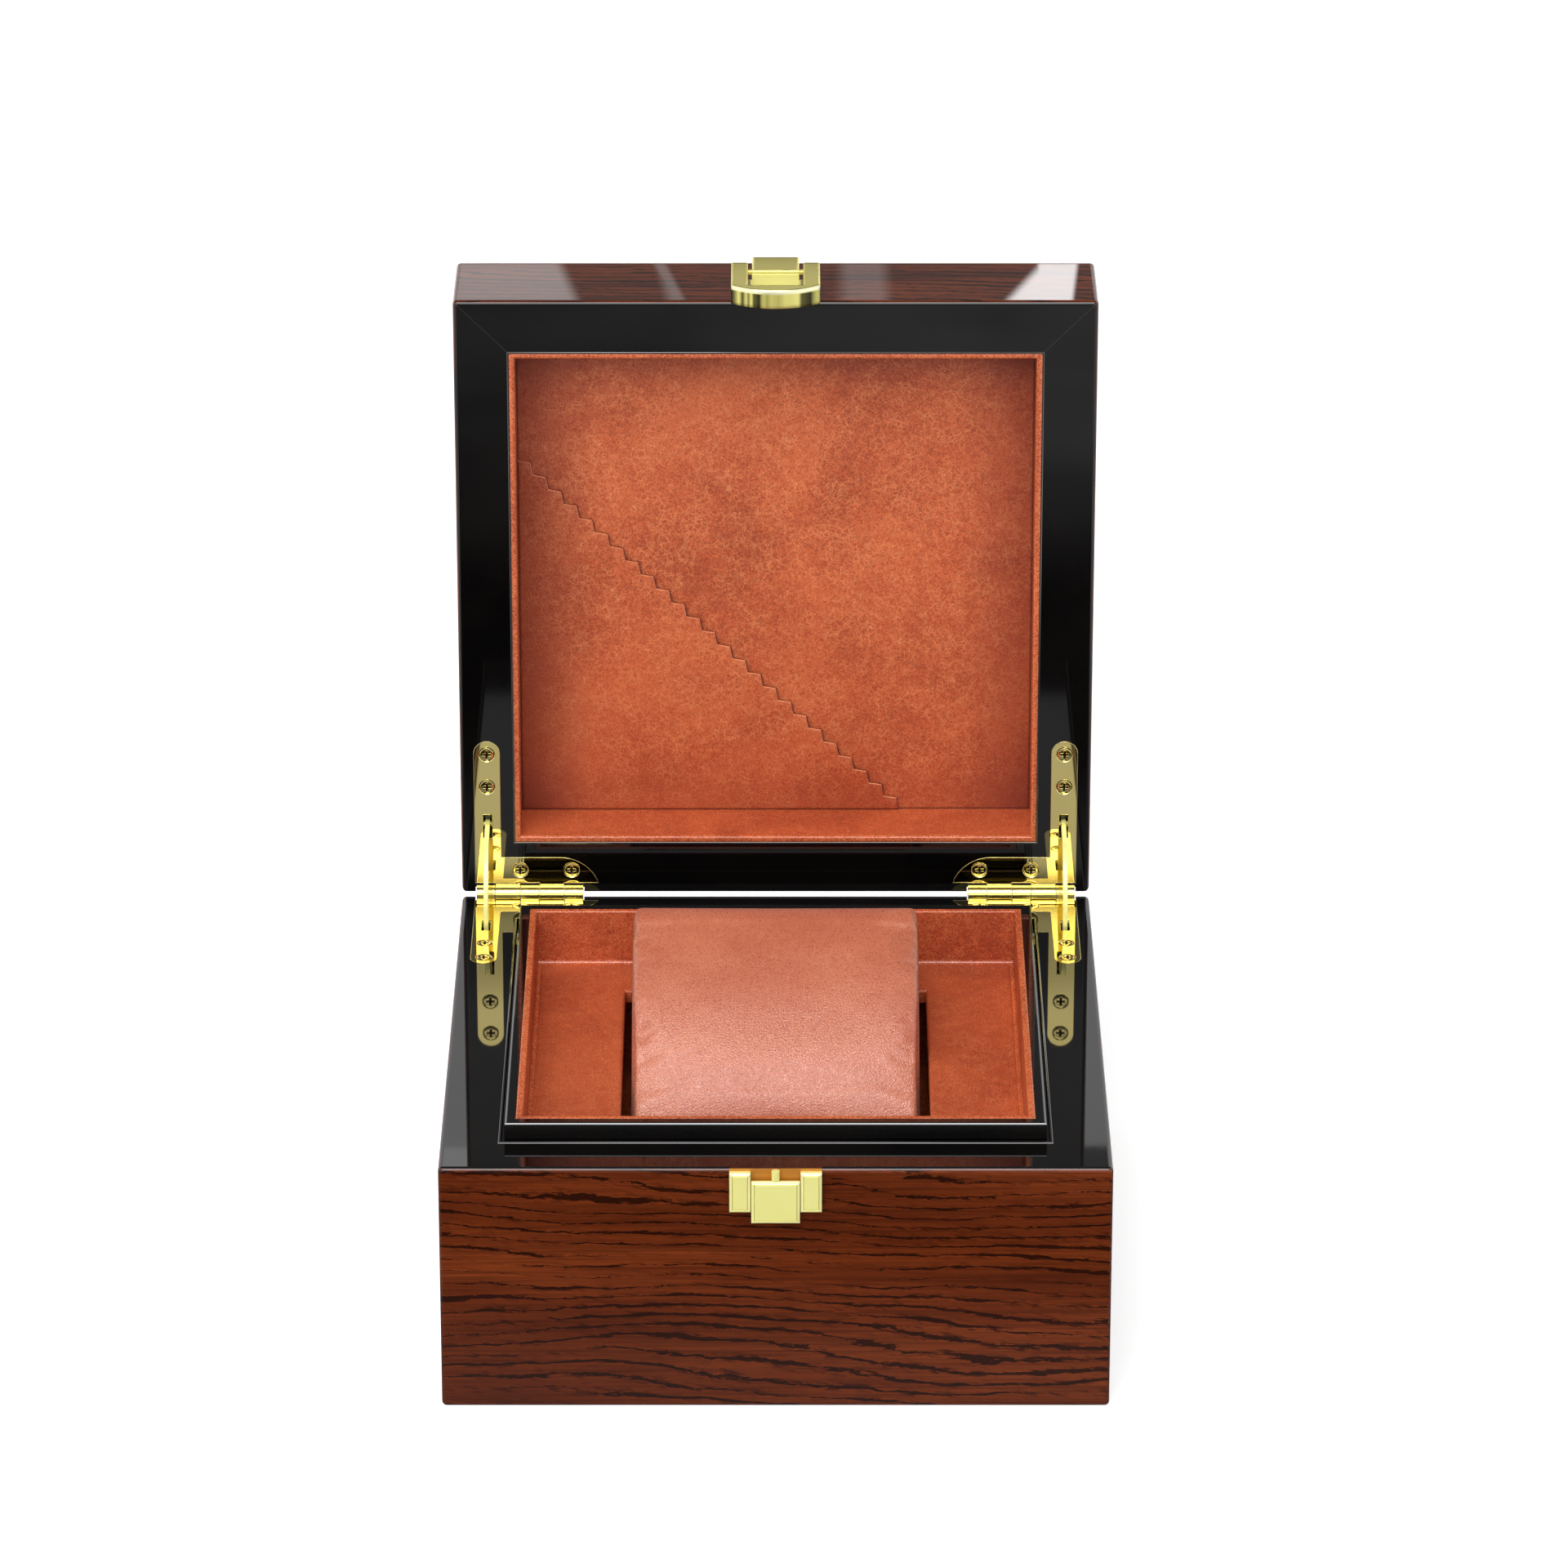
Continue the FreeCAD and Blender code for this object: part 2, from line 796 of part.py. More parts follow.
def cushion_shape():
    """A loft along X whose sides are drawn in towards both ends."""
    radius = sizes.cushion_round
    run = places.cutout_back - places.cutout_front - sizes.cushion_front_gap - radius
    drop = places.board_top - places.tray_top - radius
    slant = math.hypot(run, drop)
    lean = math.atan2(drop, run) + math.asin(radius / slant)
    front_reach = math.sqrt(slant**2 - radius**2)
    half = places.cutout_x - sizes.cushion_side_gap
    stations = []
    for turn in CUSHION_END_TURNS:
        inward = sizes.cushion_end_length * (1 - math.sin(math.radians(turn)))
        tuck = sizes.cushion_end_tuck * (1 - math.cos(math.radians(turn)))
        stations.append((half - inward, tuck))
    stations = [(-x, tuck) for x, tuck in reversed(stations)] + stations
    wires = [cushion_section(x, tuck, lean, front_reach) for x, tuck in stations]
    return Part.makeLoft(wires, True, True)


cushion = doc.addObject("Part::Feature", "cushion")
cushion.Shape = cushion_shape()
keep(cushion, "watch_cushion")

# Lid case

lid_block = box(
    "lid block",
    ("-half_width", "half_width"),
    ("-half_depth", "half_depth"),
    ("lid_bottom", "lid_top"),
)
lid_round = rounded(
    "lid rounded", lid_block, sizes.edge_round, away_from_hinges(places.lid_bottom)
)
lid_hole = box(
    "lid hole", ("-open_x", "open_x"), ("-open_y", "open_y"), ("lid_bottom", "lid_ceiling")
)
lid_slab = box(
    "lid slab",
    ("-half_width", "half_width"),
    ("-half_depth", "half_depth"),
    ("lid_ceiling", "lid_top"),
)
lid_ring = cut("lid ring", lid_round, lid_hole, lid_slab, *cutters["lid"])
boards(lid_ring, "lid_board")
lid_panel = common("lid top panel", lid_round, lid_slab)
keep(lid_panel, "lid_top")

# Lid lining, its panel and the card pocket with its pinked edge

lid_lining = ring(
    "lid lining ring",
    ("open_x", "open_y"),
    ("lid_lined_x", "lid_lined_y"),
    "lid_bottom",
    "lid_panel",
)
lid_lining_soft = rounded(
    "lid lining rounded",
    lid_lining,
    lining_round(sizes.lid_lining_thick),
    lambda point: point.z < places.lid_bottom + sizes.lining_round,
)
boards(lid_lining_soft, "lid_lining")
panel = box(
    "lining panel", ("-open_x", "open_x"), ("-open_y", "open_y"), ("lid_panel", "lid_ceiling")
)
keep(panel, "lid_lining_panel")


def pocket_outline():
    """A corner triangle whose long side steps in slightly leaning teeth."""
    left, rear = -places.lid_lined_x, places.lid_lined_y
    across, down = places.pocket_across, places.pocket_down
    count = round(across / sizes.tooth_pitch)
    step_x, step_y = across / count, down / count
    lean = sizes.tooth_lean
    points = [(left, rear), (left + across, rear)]
    for tooth in range(count, 0, -1):
        x = left + tooth * step_x
        y = rear - (count - tooth) * step_y
        points.append((x - lean, y - step_y + lean))
        points.append((x - step_x, y - step_y))
    return [FreeCAD.Vector(x, y, places.lid_panel - sizes.pocket_thick) for x, y in points]


pocket = doc.addObject("Part::Feature", "pocket")
corners = pocket_outline()
pocket_face = Part.Face(Part.makePolygon(corners + corners[:1]))
pocket.Shape = pocket_face.extrude(FreeCAD.Vector(0, 0, sizes.pocket_thick))
keep(pocket, "card_pocket")

# Latch on the base: a let-in plate with two posts, a push button between them and a catch pin

latch_plate = box(
    "latch plate",
    ("-latch_half", "latch_half"),
    ("front_face", "plate_back"),
    ("base_height - latch_plate_drop", "base_height"),
)


def front_edges(face):
    return lambda point: point.y < face + sizes.latch_round


def post(name, x):
    block = box(
        name,
        x,
        ("front_face - post_proud", "front_face"),
        ("base_height - latch_plate_drop", "base_height - post_drop"),
    )
    face = places.front_face - sizes.post_proud
    return rounded(name + " rounded", block, sizes.latch_round, front_edges(face))


stem_hole = cylinder(
    "stem hole",
    "y",
    "stem_radius + stem_clear",
    "latch_plate_thick",
    "0",
    "front_face",
    "stem_z",
)
catch_z = "(catch_bottom + catch_top) / 2"
catch_stub = cylinder(
    "catch stub", "y", "catch_stub_radius", "plate_back - catch_y", "0", "catch_y", catch_z
)
keep(
    cut(
        "latch plate body",
        joined(
            "latch plate solid",
            latch_plate,
            post("left post", ("-latch_half", "-post_inner")),
            post("right post", ("post_inner", "latch_half")),
        ),
        stem_hole,
        catch_stub,
    ),
    "base_latch_plate",
)
catch_post = cylinder(
    "catch post", "z", "catch_radius", "catch_top - catch_bottom", "0", "catch_y", "catch_bottom"
)
keep(joined("catch body", catch_post, catch_stub), "latch_catch_pin")

button_block = box(
    "button block",
    ("-button_half", "button_half"),
    ("button_front", "button_back"),
    (
        "base_height - button_top_drop - button_height",
        "base_height - button_top_drop",
    ),
)
button_soft = rounded(
    "button rounded", button_block, sizes.latch_round, front_edges(places.button_front)
)
stem = cylinder(
    "button stem", "y", "stem_radius", "collar_front - button_back", "0", "button_back", "stem_z"
)
collar = cylinder(
    "button collar", "y", "collar_radius", "collar_thick", "0", "collar_front", "stem_z"
)
keep(joined("button body", button_soft, stem, collar), "latch_button")

# Latch on the lid: a plate with a centre knuckle, and a curved hasp that swings on its pin

hasp_plate = box(
    "hasp plate",
    ("-latch_half", "latch_half"),
    ("front_face - hasp_plate_thick", "front_face"),
    ("lid_bottom + hasp_plate_gap", "lid_bottom + hasp_plate_rise"),
)
block = box(
    "hasp block",
    ("-block_half", "block_half"),
    ("block_front", "front_face"),
    ("lid_bottom + block_gap", "lid_bottom + block_rise"),
)
block_soft = rounded(
    "hasp block rounded", block, sizes.latch_round, front_edges(places.block_front)
)
cap_line = box(
    "hasp cap line",
    ("-block_half", "block_half"),
    ("block_front + block_cap", "block_front + block_cap + block_line"),
    ("lid_bottom + block_gap", "lid_bottom + block_gap + block_line"),
)
pin_span = {"x": "-latch_half", "y": "hasp_pin_y", "z": "hasp_pin_z"}
hasp_pin = cylinder("hasp pivot", "x", "hasp_pin_radius", "latch_width", **pin_span)
hasp_mount = cut(
    "hasp plate body", joined("hasp plate solid", hasp_plate, block_soft), cap_line, hasp_pin
)
keep(hasp_mount, "lid_latch_plate")
keep(hasp_pin, "hasp_pin")

hasp_slab = box(
    "hasp slab",
    ("-latch_half", "latch_half"),
    ("hasp_front", "hasp_back"),
    ("hasp_low", "hasp_pin_z"),
)
hasp_arc = cylinder(
    "hasp arc",
    "y",
    "hasp_arc_radius",
    "hasp_thick",
    "0",
    "hasp_front",
    "hasp_low + hasp_arc_radius",
)
hasp_eye = cylinder("hasp eye", "x", "hasp_thick / 2", "latch_width", **pin_span)
hasp_window = box(
    "hasp window",
    ("-window_half", "window_half"),
    ("hasp_front", "hasp_back"),
    ("lid_bottom - hasp_window_drop", "hasp_pin_z + hasp_thick"),
)
hasp_bore = cylinder(
    "hasp bore", "x", "hasp_pin_radius + pin_clear", "latch_width", **pin_span
)
hasp = cut(
    "hasp body",
    joined("hasp solid", common("hasp bow", hasp_slab, hasp_arc), hasp_eye),
    hasp_window,
    hasp_bore,
)
keep(hasp, "latch_hasp")

# The lid and all it carries are swung open about the hinge axis, after the last recompute

doc.recompute()
failed = [item.Label for item in doc.Objects if {"Invalid", "Error"} & set(item.State)]

ON_LID = ("lid_", "card_pocket", "latch_hasp", "hasp_pin")
opened = FreeCAD.Placement(
    FreeCAD.Vector(),
    FreeCAD.Rotation(FreeCAD.Vector(1, 0, 0), -sizes.lid_swing),
    FreeCAD.Vector(0, places.axis_y, places.axis_z),
)
for label, item in nodes.items():
    if label.startswith(ON_LID):
        item.Placement = opened.multiply(item.Placement)

failed += [label for label, item in nodes.items() if item.Shape.isNull() or not item.Shape.isValid()]
if failed:
    raise RuntimeError("failed pieces: " + ", ".join(failed))

os.makedirs("parts", exist_ok=True)
for label, item in nodes.items():
    item.Shape.exportStep(f"parts/{label}.step")
print(len(nodes), "pieces written")
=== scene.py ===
import json
import math

import bmesh
import bpy
from mathutils import Matrix, Vector
from mathutils.geometry import delaunay_2d_cdt


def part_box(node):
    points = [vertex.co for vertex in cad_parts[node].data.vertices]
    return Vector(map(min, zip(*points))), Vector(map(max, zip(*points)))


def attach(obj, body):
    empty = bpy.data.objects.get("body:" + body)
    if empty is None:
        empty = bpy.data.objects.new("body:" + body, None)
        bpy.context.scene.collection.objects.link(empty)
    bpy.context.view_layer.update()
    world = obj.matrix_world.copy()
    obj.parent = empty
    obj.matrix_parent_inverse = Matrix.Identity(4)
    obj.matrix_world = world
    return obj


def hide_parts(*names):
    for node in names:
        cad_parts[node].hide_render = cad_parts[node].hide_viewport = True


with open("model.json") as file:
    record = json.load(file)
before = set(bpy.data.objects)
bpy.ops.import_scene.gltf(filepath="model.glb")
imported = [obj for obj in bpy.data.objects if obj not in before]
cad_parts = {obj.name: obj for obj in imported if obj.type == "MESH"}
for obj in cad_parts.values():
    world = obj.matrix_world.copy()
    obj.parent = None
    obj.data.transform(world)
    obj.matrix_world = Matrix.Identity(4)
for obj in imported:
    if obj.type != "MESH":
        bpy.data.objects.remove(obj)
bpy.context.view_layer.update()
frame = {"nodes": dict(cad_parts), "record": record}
nodes = frame["nodes"]
MM = 0.001
WELD = 1e-6  # points of a CAD mesh closer than this are one
UP = Vector((0, 0, 1))
FORWARD = Vector((0, -1, 0))
SIDES = ("front", "rear", "left", "right")
HANDS = ("left", "right")
# A rectangle's corners in turn, as signs of its half sizes
CORNERS = ((-1, -1), (1, -1), (1, 1), (-1, 1))


class Graph:
    """The nodes of a material or of the world, added one call at a time."""

    def __init__(self, owner, shader="Principled BSDF"):
        owner.use_nodes = True
        self.owner = owner
        self.tree = owner.node_tree
        self.shader = self.tree.nodes[shader]

    def set(self, socket, value):
        """Gives a socket a fixed value, or links it to another node's output."""
        if isinstance(value, bpy.types.NodeSocket):
            self.tree.links.new(value, socket)
        else:
            socket.default_value = value

    def named(self, node, **inputs):
        """Gives a node's inputs their values by name, and returns its outputs."""
        for name, value in inputs.items():
            self.set(node.inputs[name.replace("_", " ")], value)
        return node.outputs

    def fill(self, node, *values):
        """Gives a node's inputs their values in order, and returns its first output."""
        for socket, value in zip(node.inputs, values):
            self.set(socket, value)
        return node.outputs[0]

    def finish(self, **inputs):
        self.named(self.shader, **inputs)
        return self.owner

    def surface(self, shader):
        """Shows another shader instead of the material's own."""
        self.set(self.tree.nodes["Material Output"].inputs["Surface"], shader)
        return self.owner

    def node(self, kind, **settings):
        node = self.tree.nodes.new(kind)
        for name, value in settings.items():
            setattr(node, name, value)
        return node

    def place(self):
        return self.node("ShaderNodeTexCoord").outputs["Object"]

    def parts(self, vector):
        return self.named(self.node("ShaderNodeSeparateXYZ"), Vector=vector)

    def vector(self, x, y, z):
        return self.fill(self.node("ShaderNodeCombineXYZ"), x, y, z)

    def math(self, operation, *values):
        return self.fill(self.node("ShaderNodeMath", operation=operation), *values)

    def vector_math(self, operation, *values):
        return self.fill(self.node("ShaderNodeVectorMath", operation=operation), *values)

    def scaled(self, vector, factor):
        node = self.node("ShaderNodeVectorMath", operation="SCALE")
        return self.named(node, Vector=vector, Scale=factor)[0]

    def noise(self, vector, scale, detail=2.0, roughness=0.5, distortion=0.0, output=0):
        node = self.node("ShaderNodeTexNoise")
        return self.named(
            node, Vector=vector, Scale=scale, Detail=detail, Roughness=roughness, Distortion=distortion
        )[output]

    def cracks(self, vector, scale):
        """Distance to the nearest border between cells."""
        node = self.node("ShaderNodeTexVoronoi", feature="DISTANCE_TO_EDGE")
        return self.named(node, Vector=vector, Scale=scale)[0]

    def steps(self, value, low, high, bottom=0.0, top=1.0):
        """Goes from bottom to top as the value goes from low to high."""
        node = self.node("ShaderNodeMapRange", interpolation_type="SMOOTHSTEP")
        return self.fill(node, value, low, high, bottom, top)

    def ramp(self, value, *stops):
        node = self.node("ShaderNodeValToRGB")
        elements = node.color_ramp.elements
        while len(elements) < len(stops):
            elements.new(1.0)
        for element, (position, colour) in zip(elements, stops):
            element.position = position
            element.color = colour
        return self.fill(node, value)

    def grey_ramp(self, value, levels):
        """A ramp through pairs of a position and a brightness."""
        return self.ramp(value, *((position, grey(level)) for position, level in levels))

    def mix(self, share, first, second, kind="RGBA"):
        node = self.node("ShaderNodeMix", data_type=kind)
        return self.named(node, Factor=share, A=first, B=second)["Result"]

    def bump(self, height, strength, depth, **others):
        node = self.node("ShaderNodeBump")
        return self.named(node, Height=height, Strength=strength, Distance=depth, **others)[0]


def grey(level):
    return (level, level, level, 1.0)


def srgb(red, green, blue):
    """A colour as it looks on a screen, 0 to 255, in the renderer's linear values."""
    def linear(value):
        value /= 255
        return value / 12.92 if value <= 0.04045 else ((value + 0.055) / 1.055) ** 2.4
    return (linear(red), linear(green), linear(blue), 1.0)


def tones(*colours):
    return tuple(srgb(*colour) for colour in colours)


def veneer(name, along, hairs=0.35, spacing=1300):
    """Red-brown veneer with dark streaks and hair lines along one axis, under clear gloss lacquer.

    Hairs is how dark the hair lines get, and spacing how close they lie.
    """
    g = Graph(bpy.data.materials.new(name))
    x, y, z = g.parts(g.place())
    length, first, second = {"x": (x, y, z), "y": (y, x, z), "z": (z, x, y)}[along]

    def grain(stretch, across, shift=0.0, detail=3, roughness=0.6):
        """Noise drawn out along the wood, with so many cells in a metre along and across it."""
        place = g.vector(
            g.math("MULTIPLY", length, stretch),
            g.math("MULTIPLY_ADD", first, across, shift),
            g.math("MULTIPLY", second, across),
        )
        return g.noise(place, 1.0, detail, roughness)

    # The ground, in broad bands with dark fibres
    ground = tones((80, 32, 12), (101, 43, 17), (120, 55, 25))
    wood = g.ramp(grain(6, 60, 3.1), *zip((0.32, 0.5, 0.68), ground))
    fibre = grain(60, 2600, roughness=0.65)
    wood = g.mix(g.steps(fibre, 0.38, 0.66, 0.0, 0.5), wood, srgb(66, 25, 12))

    # Growth rings that lean across the board and waver
    lean, rings_per_metre, sway_reach, ripple_reach = 0.06, 360, 8.0, 0.75
    sway = grain(9, 34, 5.0, roughness=0.45)
    ripple = grain(190, 800, detail=4, roughness=0.7)
    leaning = g.math("MULTIPLY_ADD", length, lean, g.math("ADD", first, second))
    rings = g.math("MULTIPLY_ADD", leaning, rings_per_metre, g.math("MULTIPLY", sway, sway_reach))
    rings = g.math("MULTIPLY_ADD", ripple, ripple_reach, rings)
    away = g.math("ABSOLUTE", g.math("SUBTRACT", g.math("FRACT", rings), 0.5))

    # Streaks: the dark middle of each ring, up to a share of it and soft at its edge
    widest, core = 0.27, 0.65
    band = grain(6, 90, 1.7, detail=2, roughness=0.5)
    fullness = grain(26, 420, 7.3, detail=4, roughness=0.65)
    width = g.steps(g.math("MULTIPLY_ADD", band, 0.5, fullness), 0.57, 1.0, 0.0, widest)
    dark = g.steps(away, g.math("MULTIPLY", width, core), width, 1.0, 0.0)

    # Short strokes at a slant beside the streaks
    slope, strokes_along, strokes_across = 0.16, 90, 1200
    slant = g.math("MULTIPLY", length, slope)
    strokes = g.noise(g.vector(
        g.math("MULTIPLY", length, strokes_along),
        g.math("MULTIPLY", g.math("ADD", first, slant), strokes_across),
        g.math("MULTIPLY", g.math("ADD", second, slant), strokes_across),
    ), 1.0, detail=2, roughness=0.55)
    feather = g.math("MULTIPLY", g.steps(strokes, 0.545, 0.585), g.steps(away, 0.1, 0.4, 1.0, 0.3))
    feather = g.math("MULTIPLY", feather, g.steps(band, 0.36, 0.62, 0.3, 0.9))
    dark = g.math("MAXIMUM", dark, feather)

    # Hair lines
    dark = g.math("MAXIMUM", dark, g.steps(grain(12, spacing, 2.2), 0.51, 0.64, 0.0, hairs))
    darkest = 0.92
    wood = g.mix(g.math("MULTIPLY", dark, darkest), wood, srgb(30, 10, 5))
    return g.finish(
        Base_Color=wood,
        Roughness=g.math("MULTIPLY_ADD", fibre, 0.15, 0.45),
        Specular_IOR_Level=0.0,
        Coat_Weight=1.0,
        Coat_Roughness=0.015,
        Coat_IOR=1.5,
    )


def lacquer(name, corner=None, index=1.5):
    """Near-black polished lacquer with faint polishing haze.

    Corner, the right one of two upper corners, adds the mitre joints that run down from both.
    """
    g = Graph(bpy.data.materials.new(name))
    spot = g.place()
    cloud = g.noise(spot, 30, detail=3, roughness=0.6)
    haze = g.noise(spot, 900, detail=2)
    colour = g.mix(g.steps(cloud, 0.35, 0.7), srgb(6, 5, 5), srgb(12, 10, 9))
    if corner is not None:
        x, _, z = g.parts(spot)
        off = g.math("SUBTRACT", g.math("SUBTRACT", z, g.math("ABSOLUTE", x)), corner.z - corner.x)
        joint = g.steps(g.math("ABSOLUTE", off), 0.05 * MM, 0.22 * MM, 1.0, 0.0)
        colour = g.mix(g.math("MULTIPLY", joint, 0.8), colour, srgb(40, 38, 36))
    return g.finish(
        Base_Color=colour,
        Roughness=g.math("MULTIPLY_ADD", haze, 0.02, 0.015),
        IOR=index,
    )


def leather(name, shades, veins, roughness, bump, shift=0.0, border=None, gloss=0.5, sheen=0.0):
    """Mottled leather with fine light veins over a pebbled grain.

    Shades run from pale to deep, veins is how strongly they show, shift picks another part of the hide,
    and border gives the corners of a panel, which gets painted shade towards its edges and in a crease along
    them, and darkens towards its foot.
    """
    pale, light, middle, deep = shades
    g = Graph(bpy.data.materials.new(name))
    place = g.place()
    spot = g.vector_math("ADD", place, (shift, shift, shift))
    patches = g.noise(spot, 34, detail=4, roughness=0.55, distortion=0.5)
    mottle = g.noise(spot, 520, detail=4, roughness=0.66)
    speck = g.noise(spot, 2600, detail=2, roughness=0.6)
    tone = g.math("MULTIPLY_ADD", mottle, 0.15, g.math("MULTIPLY", speck, 0.55))
    tone = g.math("MULTIPLY_ADD", patches, 0.40, tone)
    colour = g.ramp(tone, (0.44, deep), (0.54, middle), (0.64, light))

    def threads(scale, thin):
        field = g.noise(spot, scale, detail=3, roughness=0.55, distortion=0.7)
        return g.steps(g.math("ABSOLUTE", g.math("SUBTRACT", field, 0.5)), 0.0, thin, 1.0, 0.0)

    vein = g.math("MAXIMUM", threads(430, 0.016), g.math("MULTIPLY", threads(900, 0.02), 0.8))
    warped = g.vector_math("ADD", spot, g.scaled(g.noise(spot, 700, output="Color"), 1.2 * MM))
    vein = g.math("MAXIMUM", vein, g.steps(g.cracks(warped, 640), 0.0, 0.08, 0.9, 0.0))
    vein = g.math("MULTIPLY", vein, g.steps(g.noise(spot, 260, detail=3), 0.34, 0.64, 0.25, 1.0))
    colour = g.mix(g.math("MULTIPLY", vein, veins), colour, pale)
    pebbles = g.cracks(spot, 1700)
    colour = g.mix(g.steps(pebbles, 0.0, 0.16, 0.32, 0.0), colour, deep)
    if border:
        (left, low), (right, high) = border
        x, _, z = g.parts(place)
        beside = g.math("MINIMUM", g.math("SUBTRACT", x, left), g.math("SUBTRACT", right, x))
        above = g.math("MINIMUM", g.math("SUBTRACT", z, low), g.math("SUBTRACT", high, z))
        foot = g.steps(z, low, low + 70 * MM, 0.24, 0.0)
        colour = g.mix(foot, colour, srgb(170, 66, 33))
        # Painted shade: darker towards the panel's edges, where the recess walls shade it
        edge_shade = g.math(
            "ADD", g.steps(beside, 0.0, 20 * MM, 0.55, 0.0), g.steps(above, 0.0, 16 * MM, 0.35, 0.0)
        )
        colour = g.mix(edge_shade, colour, srgb(122, 50, 32))
        # A thin band of painted shade in the crease along the panel's edges
        crease_shade = g.steps(g.math("MINIMUM", beside, above), 0.15 * MM, 0.6 * MM, 0.75, 0.0)
        colour = g.mix(crease_shade, colour, srgb(60, 20, 12))
    height = g.math("MULTIPLY_ADD", g.steps(pebbles, 0.0, 0.3), 0.6, g.math("MULTIPLY", vein, -0.3))
    height = g.math("MULTIPLY_ADD", mottle, 0.6, height)
    return g.finish(
        Base_Color=colour,
        Roughness=g.math("MULTIPLY_ADD", speck, 0.2, roughness - 0.1),
        Specular_IOR_Level=gloss,
        Sheen_Weight=sheen,
        Sheen_Roughness=0.45,
        Normal=g.bump(height, bump, 0.3 * MM),
    )


# Painted reflections on the hasp's face: bands from left to right, 1 for a dark one
REFLECTION_BANDS = (
    (0.0, 1.0), (0.02, 0.1), (0.045, 1.0), (0.075, 0.2), (0.10, 0.8), (0.13, 0.1),
    (0.16, 0.9), (0.24, 1.0), (0.28, 0.3), (0.31, 0.0), (0.36, 0.35), (0.42, 0.0),
    (0.55, 0.3), (0.66, 0.05), (0.85, 0.15), (0.885, 0.9), (0.97, 1.0), (1.0, 0.3),
)


def gilt(name, colour, cloudy, roughness, metallic, edge, grain=0.0, painted_bands=()):
    """Gold plate, polished or satin, clouded with a second colour.

    Edge is the radius of its softened edges, grain roughens it, and the band table paints reflections on the
    hasp's face in upright bands, below a painted highlight along its top edge.
    """
    g = Graph(bpy.data.materials.new(name))
    spot = g.place()
    cloud = g.noise(spot, 160, detail=3)
    rub = g.noise(spot, 2600, detail=2, roughness=0.6)
    tone = g.mix(g.steps(cloud, 0.3, 0.7, 0.0, 0.35), srgb(*colour), srgb(*cloudy))
    if painted_bands:
        x, _, z = g.parts(spot)
        hasp_low, hasp_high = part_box("latch_hasp")
        reflected_bands = g.grey_ramp(g.steps(x, hasp_low.x, hasp_high.x), painted_bands)
        # Painted highlight along the top edge of the hasp's face, and painted reflections in bands below it
        below = g.steps(z, hasp_high.z - 1.2 * MM, hasp_high.z - 0.8 * MM, 1.0, 0.0)
        tone = g.mix(below, srgb(255, 252, 206), tone)
        tone = g.mix(g.math("MULTIPLY", reflected_bands, below), tone, srgb(46, 40, 8))
    soft = g.named(g.node("ShaderNodeBevel", samples=6), Radius=edge)[0]
    return g.finish(
        Base_Color=tone,
        Metallic=metallic,
        Roughness=g.math("MULTIPLY_ADD", rub, 0.3 * roughness, 0.85 * roughness),
        Normal=g.bump(rub, grain, 0.04 * MM, Normal=soft),
    )


def span(boxes):
    """The box round several boxes."""
    lows, highs = zip(*boxes)
    low = Vector(min(point[axis] for point in lows) for axis in range(3))
    high = Vector(max(point[axis] for point in highs) for axis in range(3))
    return low, high


def around(part):
    """The box round a part's four sides."""
    return span([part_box(f"{part}_{side}") for side in SIDES])


base_low, base_high = around("base_board")
lid_low, lid_high = around("lid_board")
lining_low, lining_high = around("lid_lining")
border = (
    (lining_low.x + MM, lining_low.z + MM),
    (lining_high.x - MM, lining_high.z - MM),
)

WOOD = {axis: veneer(f"veneer_along_{axis}", axis) for axis in "xyz"}
LINED_WOOD = veneer("veneer_lined", "x", hairs=0.72, spacing=480)
DARK = lacquer("dark_lacquer_gloss")
LID_DARK = lacquer("dark_lacquer_mitred", corner=lid_high)
BUFFED = lacquer("dark_lacquer_buffed", index=2.3)

HIDE = tones((242, 160, 102), (217, 110, 62), (192, 87, 46), (154, 62, 31))
# The tray's hide is the lid's hide a little darker: painted shade for the tray's lining, which catches more
# light
SHADED_TRAY_HIDE = tones((232, 148, 94), (207, 103, 58), (182, 80, 42), (146, 57, 29))
# Dark hide for the sheet behind the pocket's mouth, which stands in as painted shade
SHADE_HIDE = tones((152, 68, 42), (136, 56, 34), (114, 45, 28), (90, 34, 21))
# Pale hide for the pocket's cut edge, a painted highlight
HIGHLIGHT_HIDE = tones((250, 190, 140), (244, 168, 116), (236, 152, 102), (224, 134, 86))
SMOOTH_HIDE = tones((220, 145, 111), (204, 123, 91), (189, 105, 76), (172, 86, 59))
LINING = leather("lining_leather_mottled", SHADED_TRAY_HIDE, veins=0.38, roughness=0.45, bump=0.22)
PANEL = leather("panel_leather_mottled", HIDE, veins=0.6, roughness=0.45, bump=0.22, border=border)
POCKET = leather(
    "pocket_leather_mottled", HIDE, veins=0.6, roughness=0.45, bump=0.22, shift=0.37, border=border
)
LIP = leather("lip_leather_worn", HIDE, veins=0.4, roughness=0.28, bump=0.12, gloss=0.9)
# The dark sheet under the pocket's mouth: painted shade
PAINTED_SHADE_LEATHER = leather("pocket_painted_shade_leather", SHADE_HIDE, veins=0.3, roughness=0.5, bump=0.3)
# The pocket's cut edge: paler, a painted highlight
EDGE_HIGHLIGHT = leather("pocket_edge_painted_highlight", HIGHLIGHT_HIDE, veins=0.3, roughness=0.4, bump=0.2)
CUSHION = leather(
    "cushion_leather_smooth", SMOOTH_HIDE, veins=0.25, roughness=0.29, bump=0.26, gloss=0.8, sheen=0.1
)

